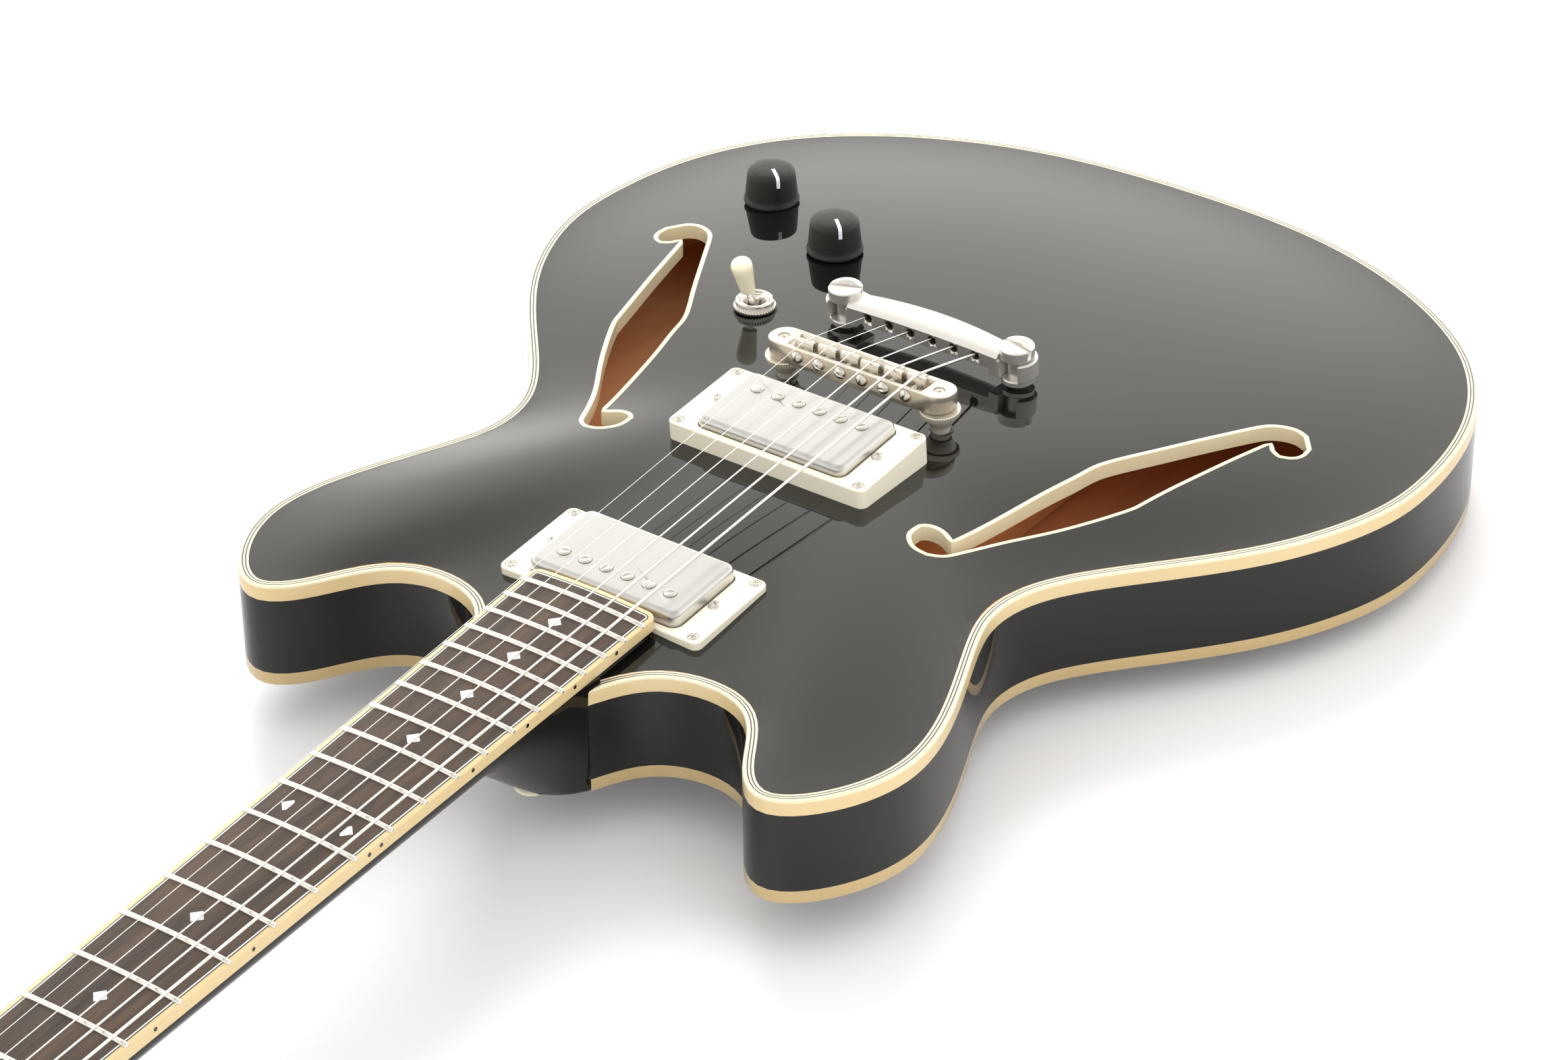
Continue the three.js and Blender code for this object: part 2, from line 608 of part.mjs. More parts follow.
function centreBlock() {
  const inside = solid(around([...backInside(GAP), ...topUnderside(-GAP)]));
  const within = solid(prism(inset(liningLoop, GAP), 0, topLimit));
  const plank = solid(box(-BLOCK_HALF_WIDTH, BLOCK_HALF_WIDTH, HORN_Y, HORN_Y + BODY_LENGTH, 0, topLimit));
  return cut(
    inside.intersect(within).intersect(plank),
    neckPocket(), pickupCavity(NECK_PICKUP), pickupCavity(BRIDGE_PICKUP), ...hardwareHoles(),
  );
}

// One cross-section of the neck, from its upper corner on the bass side round under to the other.
function neckSection(y, top, half, depth, fullness = NECK_FULLNESS) {
  const points = [];
  for (let i = 0; i <= NECK_STEPS; i++) {
    const turn = (Math.PI * i) / NECK_STEPS;
    const c = Math.cos(turn);
    points.push(new THREE.Vector3(
      half * Math.sign(c) * Math.abs(c) ** fullness, y, top - depth * Math.sin(turn) ** fullness,
    ));
  }
  return points;
}

function headLoop() {
  const half = headShares.map(([x, y]) => new THREE.Vector2(x * HEAD_HALF_WIDTH, y * HEAD_LENGTH));
  const other = half.slice(0, -1).reverse().map((p) => new THREE.Vector2(-p.x, p.y));
  return new THREE.SplineCurve([...half, ...other]).getPoints(half.length * 4);
}

const tunerY = (pair) => -TUNER_FIRST - pair * TUNER_PITCH;
const tunerPair = (i) => (i < TUNER_SPREADS.length ? i : STRING_RADII.length - 1 - i);
const tunerSide = (i) => (i < TUNER_SPREADS.length ? -1 : 1);
const tunerPlace = (i) => [tunerSide(i) * TUNER_SPREADS[tunerPair(i)], tunerY(tunerPair(i))];
const rodZ = neckTop - ROD_DEPTH;
const rodStart = -SCALE_LENGTH - NUT_LENGTH - ROD_NUT_START;

function neck() {
  const nutY = -SCALE_LENGTH - NUT_LENGTH;
  const half = (y) => boardHalf(y) - NECK_HALF_INSET;
  const depth = (y) => NECK_DEPTH_NUT
    + ((NECK_DEPTH_HEEL - NECK_DEPTH_NUT) * (y - nutY)) / (HEEL_START_Y - nutY);
  const rootDrop = HEAD_ROOT * Math.tan(HEAD_TILT);
  const sections = [
    neckSection(nutY - HEAD_ROOT, -HEAD_STEP - rootDrop * 2, half(nutY), depth(nutY)),
    neckSection(nutY, neckTop, half(nutY), depth(nutY)),
  ];
  for (let i = 0; i <= HEEL_STEPS; i++) {
    const way = i / HEEL_STEPS;
    const y = HEEL_START_Y + HEEL_LENGTH * way;
    sections.push(neckSection(
      y, neckTop, half(y), depth(y) + (HEEL_DEPTH - NECK_DEPTH_HEEL) * way ** HEEL_DROP_POWER,
      NECK_FULLNESS + (HEEL_FULLNESS - NECK_FULLNESS) * way,
    ));
  }
  sections.push(neckSection(NECK_END_Y, neckTop, tenonHalf, HEEL_DEPTH, HEEL_FULLNESS));
  const behind = solid(box(
    -BODY_HALF_WIDTH, BODY_HALF_WIDTH, outlineFront - GAP, HORN_Y + BODY_LENGTH, -BODY_LENGTH, BODY_LENGTH,
  ));
  const under = solid(box(
    -BODY_HALF_WIDTH, BODY_HALF_WIDTH, HEEL_START_Y, 0, -BODY_LENGTH, BACK_RISE,
  ));
  const tenon = solidOnNeck(box(
    -tenonHalf, tenonHalf, HEEL_START_Y + HEEL_LENGTH - OVERRUN, NECK_END_Y, TENON_BOTTOM, neckTop,
  ));
  const postHoles = STRING_RADII.map((radius, i) => solidOnHead(
    rod(POST_RADIUS + GAP, -HEAD_THICKNESS - OVERRUN, OVERRUN, 10).translate(...tunerPlace(i), 0),
  ));
  const channel = solidOnNeck(box(
    -ROD_RADIUS - GAP, ROD_RADIUS + GAP, rodStart, ROD_END_Y + GAP, rodZ - ROD_RADIUS - GAP, 0,
  ));
  const nutPocket = solidOnNeck(box(
    -ROD_NUT_RADIUS - GAP, ROD_NUT_RADIUS + GAP, rodStart - ROD_NUT_LENGTH - GAP, rodStart + SINK + GAP,
    rodZ - ROD_NUT_RADIUS - GAP, 0,
  ));
  return cut(
    joined(
      cut(solidOnNeck(loft(sections)), behind, under),
      tenon,
      solidOnHead(prism(headLoop(), -HEAD_THICKNESS, 0)),
    ),
    ...postHoles, channel, nutPocket,
  );
}

function trussRod() {
  return solidOnNeck(rod(ROD_RADIUS, rodStart, ROD_END_Y, 10).rotateX(-Math.PI / 2).translate(0, 0, rodZ))
    .add(solidOnNeck(rod(ROD_NUT_RADIUS, rodStart - ROD_NUT_LENGTH, rodStart + SINK, 6)
      .rotateX(-Math.PI / 2).translate(0, 0, rodZ)));
}

const trussRodCover = () => solidOnHead(prism(
  rodCoverShares.map(([x, y]) => new THREE.Vector2(
    x * ROD_COVER_HALF_WIDTH, -ROD_COVER_START + y * ROD_COVER_LENGTH,
  )),
  GAP, GAP + ROD_COVER_THICKNESS,
));

// The fretboard's outline, moved in by a distance at the sides and at its end over the body.
function boardLoop(distance, start) {
  const end = BOARD_END_Y - distance;
  const corner = BOARD_CORNER - distance;
  const endHalf = BOARD_END_HALF - distance;
  const startHalf = boardHalf(start) - distance;
  const turn = [0, 1, 2, 3].map((i) => (Math.PI * i) / 6);
  return [
    new THREE.Vector2(-startHalf, start), new THREE.Vector2(startHalf, start),
    ...turn.map((a) => new THREE.Vector2(
      endHalf - corner + corner * Math.cos(a), end - corner + corner * Math.sin(a),
    )),
    ...[...turn].reverse().map((a) => new THREE.Vector2(
      -endHalf + corner - corner * Math.cos(a), end - corner + corner * Math.sin(a),
    )),
  ];
}

// A layer that follows the fretboard's crown, down to a flat underside or to a given depth.
function crowned(top, bottom) {
  const reach = BOARD_END_HALF + FRET_WIDTH;
  const upper = boardStationShares.map((share) => (
    new THREE.Vector2(share * reach, top - crownDrop(share * reach))
  ));
  const lower = bottom === undefined
    ? [new THREE.Vector2(-reach, neckTop + GAP), new THREE.Vector2(reach, neckTop + GAP)]
    : upper.map((p) => new THREE.Vector2(p.x, p.y - top + bottom));
  return solidOnNeck(along([...lower, ...upper.reverse()], -SCALE_LENGTH, BOARD_END_Y));
}

function fretboard() {
  const inner = boardLoop(BOARD_BINDING + GAP, -SCALE_LENGTH + GAP);
  const bars = [];
  for (let n = 1; n <= FRET_COUNT; n++) {
    const half = boardHalf(fretY(n)) - FRET_END_INSET;
    bars.push(solidOnNeck(box(
      -half, half, fretY(n) - FRET_WIDTH / 2, fretY(n) + FRET_WIDTH / 2, neckTop, FRET_HEIGHT,
    )));
  }
  return joined(
    crowned(-FRET_HEIGHT).intersect(solidOnNeck(prism(inner, neckTop, 0))),
    crowned(0, -FRET_HEIGHT - FRET_SINK).intersect(joined(...bars)),
  );
}

function neckBinding() {
  const start = -SCALE_LENGTH + GAP;
  return cut(
    crowned(-FRET_HEIGHT - FRET_SINK - GAP).intersect(solidOnNeck(prism(boardLoop(0, start), neckTop, 0))),
    solidOnNeck(prism(boardLoop(BOARD_BINDING, start - OVERRUN), neckTop - OVERRUN, OVERRUN)),
  );
}

function nut() {
  const front = -SCALE_LENGTH;
  const back = front - NUT_LENGTH;
  const low = neckTop + GAP;
  const block = solidOnNeck(across(pairs([
    [back + GAP, low], [front, low], [front, NUT_HEIGHT], [front - NUT_LENGTH / 2, NUT_HEIGHT],
    [back + GAP, NUT_HEIGHT / 4],
  ]), -BOARD_NUT_HALF, BOARD_NUT_HALF));
  const slots = (floor) => joined(...STRING_RADII.map((radius, i) => solidOnNeck(box(
    nutX(i) - radius - 2 * GAP, nutX(i) + radius + 2 * GAP, back - OVERRUN, front + OVERRUN,
    floor, NUT_HEIGHT + OVERRUN,
  ))));
  const floor = NUT_STRING_Z - GAP;
  const fall = solidOnNeck(across(pairs([
    [back - OVERRUN, floor - (OVERRUN + NUT_LENGTH / 2) * NUT_FALL_SHARE], [front - NUT_LENGTH / 2, floor],
    [front - NUT_LENGTH / 2, NUT_HEIGHT + OVERRUN], [back - OVERRUN, NUT_HEIGHT + OVERRUN],
  ]), -BOARD_NUT_HALF, BOARD_NUT_HALF));
  return cut(block, slots(floor), slots(low).intersect(fall));
}

// A string from its ball in the tailpiece over the bridge and the nut onto its post.
function string(i) {
  const radius = STRING_RADII[i];
  const crest = new THREE.Vector3(bridgeX(i), saddleRest[i], SADDLE_CREST + GAP + radius);
  const holeZ = BAR_TOP - STRING_HOLE_DROP;
  const entryZ = holeZ + STRING_HOLE_RADIUS - GAP - radius;
  const ballY = BAR_FRONT_Y + BAR_DEPTH - BALL_SINK;
  const nutFront = new THREE.Vector3(nutX(i), -SCALE_LENGTH, NUT_STRING_Z + radius);
  const nutBack = new THREE.Vector3(nutX(i), -SCALE_LENGTH - NUT_LENGTH / 2, NUT_STRING_Z + radius);
  const route = [
    new THREE.Vector3(bridgeX(i), ballY, holeZ),
    new THREE.Vector3(bridgeX(i), BAR_FRONT_Y - GAP, entryZ),
    crest.clone().add(new THREE.Vector3(0, SADDLE_CREST_HALF, 0)),
    crest.clone().sub(new THREE.Vector3(0, SADDLE_CREST_HALF, 0)),
    nutFront, nutBack,
  ];
  const [x, y] = tunerPlace(i);
  const side = tunerSide(i);
  const wrapRadius = POST_WAIST_RADIUS + GAP + radius;
  const steps = WRAP_TURNS * WRAP_SIDES;
  for (let k = 0; k <= steps; k++) {
    const turn = (2 * Math.PI * k) / WRAP_SIDES;
    route.push(new THREE.Vector3(
      x - side * wrapRadius * Math.cos(turn),
      y - wrapRadius * Math.sin(turn),
      WRAP_HIGH - radius - ((WRAP_HIGH - WRAP_LOW - 2 * radius) * k) / steps,
    ).applyMatrix4(headFrame.matrix));
  }
  const ball = solidOnNeck(rod(BALL_RADIUS, -BALL_LENGTH / 2, BALL_LENGTH / 2, 8)
    .rotateY(Math.PI / 2).translate(bridgeX(i), ballY, holeZ));
  return solidOnNeck(tube(route, radius, STRING_SIDES)).add(ball);
}

function tunerPlate(side) {
  const spreads = TUNER_SPREADS.map((spread) => spread * side);
  const top = -HEAD_THICKNESS - GAP;
  const cavityTop = top - PLATE_THICKNESS;
  const cavityBottom = cavityTop - HOUSING_DEPTH + HOUSING_WALL;
  const wormY = GEAR_RADIUS + WORM_RADIUS + GAP;
  const inside = {
    x: GEAR_RADIUS + GAP, y0: -GEAR_RADIUS - GAP, y1: wormY + WORM_RADIUS + GAP,
  };
  const strip = solidOnHead(prism([
    new THREE.Vector2(spreads[0] - PLATE_WIDTH / 2, tunerY(0) + PLATE_MARGIN),
    new THREE.Vector2(spreads[0] + PLATE_WIDTH / 2, tunerY(0) + PLATE_MARGIN),
    new THREE.Vector2(spreads[2] + PLATE_WIDTH / 2, tunerY(2) - PLATE_MARGIN),
    new THREE.Vector2(spreads[2] - PLATE_WIDTH / 2, tunerY(2) - PLATE_MARGIN),
  ], cavityTop, top));
  const housings = spreads.map((x, pair) => solidOnHead(box(
    x - inside.x - HOUSING_WALL, x + inside.x + HOUSING_WALL,
    tunerY(pair) + inside.y0 - HOUSING_WALL, tunerY(pair) + inside.y1 + HOUSING_WALL,
    cavityTop - HOUSING_DEPTH, cavityTop + SINK,
  )));
  const cavities = spreads.map((x, pair) => solidOnHead(box(
    x - inside.x, x + inside.x, tunerY(pair) + inside.y0, tunerY(pair) + inside.y1,
    cavityBottom, cavityTop,
  )));
  const postHoles = spreads.map((x, pair) => solidOnHead(
    rod(POST_RADIUS + GAP, cavityBottom, 0, 10).translate(x, tunerY(pair), 0),
  ));
  const keyHoles = spreads.map((x, pair) => solidOnHead(
    rod(KEY_SHAFT_RADIUS + GAP, 0, KEY_REACH, 8).rotateY((side * Math.PI) / 2)
      .translate(x, tunerY(pair) + wormY, gearZ()),
  ));
  return cut(joined(strip, ...housings), ...cavities, ...postHoles, ...keyHoles);
}

const gearZ = () => -HEAD_THICKNESS - PLATE_THICKNESS - GAP * 2 - GEAR_THICKNESS / 2;

function tunerPost(i) {
  const low = gearZ() - GEAR_THICKNESS / 2;
  return solidOnHead(turned([
    [0, low], [GEAR_RADIUS, low], [GEAR_RADIUS, low + GEAR_THICKNESS], [POST_RADIUS, low + GEAR_THICKNESS],
    [POST_RADIUS, WRAP_LOW - WRAP_MARGIN], [POST_WAIST_RADIUS, WRAP_LOW - WRAP_MARGIN / 2],
    [POST_WAIST_RADIUS, WRAP_HIGH + WRAP_MARGIN / 2], [POST_RADIUS, WRAP_HIGH + WRAP_MARGIN],
    [POST_RADIUS, POST_HEIGHT], [0, POST_HEIGHT],
  ], 10).translate(...tunerPlace(i), 0));
}

function tunerKey(i) {
  const [x, y] = tunerPlace(i);
  const outer = KEY_REACH - BUTTON_LENGTH / 2;
  const worm = turned([
    [0, -GEAR_RADIUS], [WORM_RADIUS, -GEAR_RADIUS], [WORM_RADIUS, GEAR_RADIUS],
    [KEY_SHAFT_RADIUS, GEAR_RADIUS], [KEY_SHAFT_RADIUS, outer + SINK], [0, outer + SINK],
  ], 8).rotateY((tunerSide(i) * Math.PI) / 2);
  const button = prism(
    rounded(BUTTON_LENGTH / 2, BUTTON_WIDTH / 2, BUTTON_CORNER), -BUTTON_THICKNESS / 2, BUTTON_THICKNESS / 2,
  ).translate(tunerSide(i) * KEY_REACH, 0, 0);
  const place = [x, y + GEAR_RADIUS + WORM_RADIUS + GAP, gearZ()];
  return solidOnHead(worm.translate(...place)).add(solidOnHead(button.translate(...place)));
}

function bridgeBody() {
  const low = BRIDGE_DECK - BRIDGE_HEIGHT;
  const bar = solidOnNeck(across(pairs([
    [-BRIDGE_FRONT, low], [BRIDGE_REAR, low], [BRIDGE_REAR, BRIDGE_DECK - BRIDGE_REAR_DROP],
    [-BRIDGE_FRONT, BRIDGE_DECK],
  ]), -BRIDGE_HALF_LENGTH, BRIDGE_HALF_LENGTH));
  const middle = (BRIDGE_REAR - BRIDGE_FRONT) / 2;
  const halfWidth = (BRIDGE_REAR + BRIDGE_FRONT) / 2;
  const ends = solidOnNeck(prism(
    rounded(BRIDGE_HALF_LENGTH, halfWidth, halfWidth * BRIDGE_END_SHARE), low, BRIDGE_DECK,
  ).translate(0, middle, 0));
  const slot = solidOnNeck(box(
    -BRIDGE_SLOT_HALF_LENGTH, BRIDGE_SLOT_HALF_LENGTH, -BRIDGE_SLOT_FRONT, BRIDGE_SLOT_REAR,
    low + BRIDGE_FLOOR, BRIDGE_DECK + OVERRUN,
  ));
  const pins = pairOfRods(BRIDGE_POST_SPACING / 2, 0, BRIDGE_PIN_RADIUS + GAP, low - OVERRUN, OVERRUN);
  const screws = STRING_RADII.map((radius, i) => solidOnNeck(turned([
    [0, -BRIDGE_REAR + GAP], [SADDLE_SCREW_RADIUS, -BRIDGE_REAR + GAP],
    [SADDLE_SCREW_RADIUS, BRIDGE_FRONT - SINK], [SADDLE_HEAD_RADIUS, BRIDGE_FRONT - SINK],
    [SADDLE_HEAD_RADIUS, BRIDGE_FRONT + SADDLE_HEAD_PROUD], [0, BRIDGE_FRONT + SADDLE_HEAD_PROUD],
  ], 8).rotateX(Math.PI / 2).translate(bridgeX(i), 0, SADDLE_SCREW_Z)));
  return joined(cut(bar.intersect(ends), slot, pins), ...screws);
}

function saddle(i) {
  const low = BRIDGE_DECK - BRIDGE_HEIGHT + BRIDGE_FLOOR + GAP;
  const y = saddleRest[i];
  const body = solidOnNeck(across(pairs([
    [y - SADDLE_HALF_WIDTH, low], [y + SADDLE_HALF_WIDTH, low],
    [y + SADDLE_HALF_WIDTH, SADDLE_CREST - SADDLE_SHOULDER], [y + SADDLE_CREST_HALF, SADDLE_CREST],
    [y - SADDLE_CREST_HALF, SADDLE_CREST], [y - SADDLE_HALF_WIDTH, SADDLE_CREST - SADDLE_SHOULDER],
  ]), bridgeX(i) - SADDLE_LENGTH / 2, bridgeX(i) + SADDLE_LENGTH / 2));
  const bore = solidOnNeck(rod(SADDLE_SCREW_RADIUS + GAP, -BRIDGE_REAR, BRIDGE_REAR, 8)
    .rotateX(Math.PI / 2).translate(bridgeX(i), 0, SADDLE_SCREW_Z));
  return cut(body, bore);
}

const bridgePost = (side) => solidOnNeck(turned([
  [0, postBottom], [BRIDGE_POST_RADIUS, postBottom], [BRIDGE_POST_RADIUS, wheelTop - WHEEL_THICKNESS],
  [WHEEL_RADIUS, wheelTop - WHEEL_THICKNESS], [WHEEL_RADIUS, wheelTop], [BRIDGE_PIN_RADIUS, wheelTop],
  [BRIDGE_PIN_RADIUS, BRIDGE_PIN_TOP], [0, BRIDGE_PIN_TOP],
], 16).translate((side * BRIDGE_POST_SPACING) / 2, 0, 0));

function tailpiece() {
  const bar = solidOnNeck(across(barShares.map(([y, z]) => new THREE.Vector2(
    BAR_FRONT_Y + y * BAR_DEPTH, BAR_TOP + z * -BAR_HEIGHT * -1,
  )), -BAR_HALF_LENGTH, BAR_HALF_LENGTH));
  const lugLow = studFlangeTop + GAP;
  const lugHigh = TAIL_TOP - STUD_HEAD_HEIGHT - GAP;
  const lugs = pairOfRods(STUD_SPACING / 2, TAIL_Y, LUG_RADIUS, lugLow, lugHigh);
  const mouths = [-1, 1].map((side) => solidOnNeck(box(
    (side * STUD_SPACING) / 2 - STUD_NECK_RADIUS - GAP, (side * STUD_SPACING) / 2 + STUD_NECK_RADIUS + GAP,
    TAIL_Y - LUG_RADIUS - OVERRUN, TAIL_Y, lugLow - OVERRUN, TAIL_TOP,
  )));
  const holeZ = BAR_TOP - STRING_HOLE_DROP;
  const rear = BAR_FRONT_Y + BAR_DEPTH;
  const holes = STRING_RADII.map((radius, i) => solidOnNeck(turned([
    [0, BAR_FRONT_Y - OVERRUN], [STRING_HOLE_RADIUS, BAR_FRONT_Y - OVERRUN],
    [STRING_HOLE_RADIUS, rear - BALL_SINK - BALL_RADIUS - GAP],
    [BALL_POCKET_RADIUS, rear - BALL_SINK - BALL_RADIUS - GAP],
    [BALL_POCKET_RADIUS, rear + OVERRUN], [0, rear + OVERRUN],
  ], 8).rotateX(-Math.PI / 2).translate(bridgeX(i), 0, holeZ)));
  return cut(
    joined(bar, lugs),
    ...mouths, pairOfRods(STUD_SPACING / 2, TAIL_Y, STUD_NECK_RADIUS + GAP, lugLow - OVERRUN, TAIL_TOP),
    pairOfRods(STUD_SPACING / 2, TAIL_Y, STUD_HEAD_RADIUS + GAP, lugHigh, OVERRUN),
    ...holes,
  );
}

const tailpieceStud = (side) => solidOnNeck(turned([
  [0, studBottom], [STUD_NECK_RADIUS, studBottom], [STUD_NECK_RADIUS, studFlangeTop - STUD_FLANGE_HEIGHT],
  [STUD_FLANGE_RADIUS, studFlangeTop - STUD_FLANGE_HEIGHT], [STUD_FLANGE_RADIUS, studFlangeTop],
  [STUD_NECK_RADIUS, studFlangeTop], [STUD_NECK_RADIUS, TAIL_TOP - STUD_HEAD_HEIGHT],
  [STUD_HEAD_RADIUS, TAIL_TOP - STUD_HEAD_HEIGHT], [STUD_HEAD_RADIUS, TAIL_TOP], [0, TAIL_TOP],
], 16).translate((side * STUD_SPACING) / 2, TAIL_Y, 0));

function pickupRing({ y, ringTop }) {
  const low = ringTop - COVER_DEPTH;
  const frame = cut(
    solidOnNeck(prism(rounded(RING_HALF_LENGTH, RING_HALF_WIDTH, RING_CORNER), low, ringTop)
      .translate(0, y, 0)),
    solidOnNeck(prism(
      rounded(COVER_X + PICKUP_CLEARANCE, COVER_Y + PICKUP_CLEARANCE, COVER_CORNER), low - OVERRUN, OVERRUN,
    ).translate(0, y, 0)),
    underTop(),
  );
  const head = (x, dy, radius, depth) => [-1, 1].flatMap((sx) => (dy ? [-1, 1] : [0]).map((sy) => (
    solidOnNeck(rod(radius, ringTop - depth, ringTop + RING_SCREW_PROUD, 8).translate(sx * x, y + sy * dy, 0))
  )));
  return joined(
    frame,
    ...head(RING_SCREW_X, RING_SCREW_Y, RING_SCREW_RADIUS, SINK),
    ...head(LUG_REACH, 0, HEIGHT_HEAD_RADIUS, SINK),
    ...head(LUG_REACH, 0, HEIGHT_SCREW_RADIUS, HEIGHT_SCREW_LENGTH),
  );
}

function pickup({ y, coverTop, poleSide }) {
  const low = coverTop - COVER_DEPTH;
  const cover = solidOnNeck(prism(rounded(COVER_X, COVER_Y, COVER_CORNER), low, coverTop)
    .translate(0, y, 0));
  const legs = solidOnNeck(box(
    -LUG_REACH - LEG_TIP, LUG_REACH + LEG_TIP, y - LUG_HALF_WIDTH, y + LUG_HALF_WIDTH,
    low, low + LEG_THICKNESS,
  ));
  const poles = STRING_RADII.map((radius, i) => solidOnNeck(
    rod(POLE_RADIUS, coverTop - SINK, coverTop + POLE_PROUD, 10)
      .translate(fromMiddle(i) * POLE_SPACING, y + poleSide * POLE_OFFSET, 0),
  ));
  return cut(
    joined(cover, legs, ...poles),
    pairOfRods(LUG_REACH, y, HEIGHT_SCREW_RADIUS + GAP, low - OVERRUN, coverTop),
  );
}

function knob(place) {
  const low = surfaceAt(place) + KNOB_SEAT;
  const top = low + KNOB_HEIGHT;
  const recess = low + KNOB_RECESS_DEPTH;
  return solid(turned([
    [0, recess - SHAFT_LENGTH], [SHAFT_RADIUS, recess - SHAFT_LENGTH], [SHAFT_RADIUS, recess],
    [KNOB_RECESS_RADIUS, recess], [KNOB_RECESS_RADIUS, low], [KNOB_BASE_RADIUS, low],
    [KNOB_BASE_RADIUS, low + KNOB_FLANGE], [KNOB_SKIRT_RADIUS, low + KNOB_FLANGE],
    [KNOB_TOP_RADIUS, top - KNOB_DOME], [KNOB_TOP_RADIUS - KNOB_DOME, top - KNOB_DOME / 3], [0, top],
  ]).translate(...place, 0));
}

function pot(place) {
  const surface = surfaceAt(place);
  const top = surface - TOP_THICKNESS - POT_DROP;
  const floor = surface + KNOB_SEAT + KNOB_RECESS_DEPTH - SHAFT_LENGTH - POT_FLOOR;
  return solid(turned([
    [0, top - POT_HEIGHT], [POT_RADIUS, top - POT_HEIGHT], [POT_RADIUS, top], [POT_NECK_RADIUS, top],
    [POT_NECK_RADIUS, surface + POT_NECK_PROUD], [SHAFT_RADIUS + GAP, surface + POT_NECK_PROUD],
    [SHAFT_RADIUS + GAP, floor], [0, floor],
  ], 16).translate(...place, 0));
}

const switchTop = () => surfaceAt(SWITCH_PLACE) + SWITCH_SEAT + SWITCH_WASHER + SWITCH_NUT;
const pivot = () => new THREE.Vector3(...SWITCH_PLACE, switchTop() - SWITCH_PIVOT_DROP);

function toggleHousing() {
  const surface = surfaceAt(SWITCH_PLACE);
  const top = switchTop();
  const boxTop = surface - TOP_THICKNESS - SWITCH_DROP;
  const [x, y] = SWITCH_PLACE;
  const [sizeX, sizeY, sizeZ] = SWITCH_BOX_SIZE;
  const frame = solid(box(
    x - sizeX / 2, x + sizeX / 2, y - sizeY / 2, y + sizeY / 2, boxTop - sizeZ, boxTop,
  ));
  const bushing = solid(turned([
    [0, boxTop - SINK], [SWITCH_THREAD_RADIUS, boxTop - SINK], [SWITCH_THREAD_RADIUS, surface + SWITCH_SEAT],
    [SWITCH_WASHER_RADIUS, surface + SWITCH_SEAT],
    [SWITCH_WASHER_RADIUS, surface + SWITCH_SEAT + SWITCH_WASHER],
    [SWITCH_NUT_RADIUS, surface + SWITCH_SEAT + SWITCH_WASHER], [SWITCH_NUT_RADIUS, top], [0, top],
  ], 16).translate(x, y, 0));
  const low = pivot().z - LEVER_BALL - GAP;
  const mouth = solid(turned([
    [0, low], [SWITCH_BORE_RADIUS, low], [SWITCH_BORE_RADIUS, pivot().z], [SWITCH_MOUTH_RADIUS, top],
    [SWITCH_MOUTH_RADIUS, top + OVERRUN], [0, top + OVERRUN],
  ], 16).translate(x, y, 0));
  return cut(joined(frame, bushing), mouth);
}

const leaning = (geometry) => geometry.rotateY(LEVER_TILT).rotateZ(LEVER_HEADING)
  .translate(...pivot().toArray());

const toggleLever = () => solid(leaning(new THREE.SphereGeometry(LEVER_BALL, 12, 8)))
  .add(solid(leaning(rod(LEVER_RADIUS, 0, LEVER_LENGTH, 12))));

const toggleTip = () => solid(leaning(turned([
  [LEVER_RADIUS + GAP, TIP_START], [TIP_LOW_RADIUS, TIP_START],
  [TIP_HIGH_RADIUS, TIP_START + TIP_LENGTH * 0.7],
  [TIP_HIGH_RADIUS * 0.8, TIP_START + TIP_LENGTH * 0.93], [0, TIP_START + TIP_LENGTH],
  [0, LEVER_LENGTH + GAP], [LEVER_RADIUS + GAP, LEVER_LENGTH + GAP], [LEVER_RADIUS + GAP, TIP_START],
], 16)));

function outputJack() {
  const out = -JACK_STANDOFF - JACK_FLANGE;
  return solid(facingBass(turned([
    [0, out + JACK_BORE_DEPTH], [JACK_BORE_RADIUS, out + JACK_BORE_DEPTH], [JACK_BORE_RADIUS, out],
    [JACK_FLANGE_RADIUS, out], [JACK_FLANGE_RADIUS, -JACK_STANDOFF],
    [JACK_BARREL_RADIUS, -JACK_STANDOFF], [JACK_BARREL_RADIUS, JACK_LENGTH], [0, JACK_LENGTH],
  ], 20)));
}

const strapButton = (stand) => turned([
  [0, 0], [STRAP_BASE_RADIUS, 0], [STRAP_BASE_RADIUS, STRAP_BASE], [STRAP_WAIST_RADIUS, STRAP_BASE * 2],
  [STRAP_WAIST_RADIUS, stand - STRAP_FLANGE * 1.5], [STRAP_FLANGE_RADIUS, stand - STRAP_FLANGE],
  [STRAP_FLANGE_RADIUS, stand - STRAP_FLANGE / 3],
  [STRAP_FLANGE_RADIUS - STRAP_FLANGE / 2, stand],
  [0, stand],
], 14);
const tailButton = () => solid(strapButton(BUTTON_STAND).rotateX(-Math.PI / 2)
  .translate(0, HORN_Y + BODY_LENGTH + STRAP_SEAT, jackZ));
const heelButton = () => solid(strapButton(HEEL_BUTTON_STAND).rotateX(Math.PI)
  .translate(0, HEEL_BUTTON_Y, BACK_RISE - GAP));

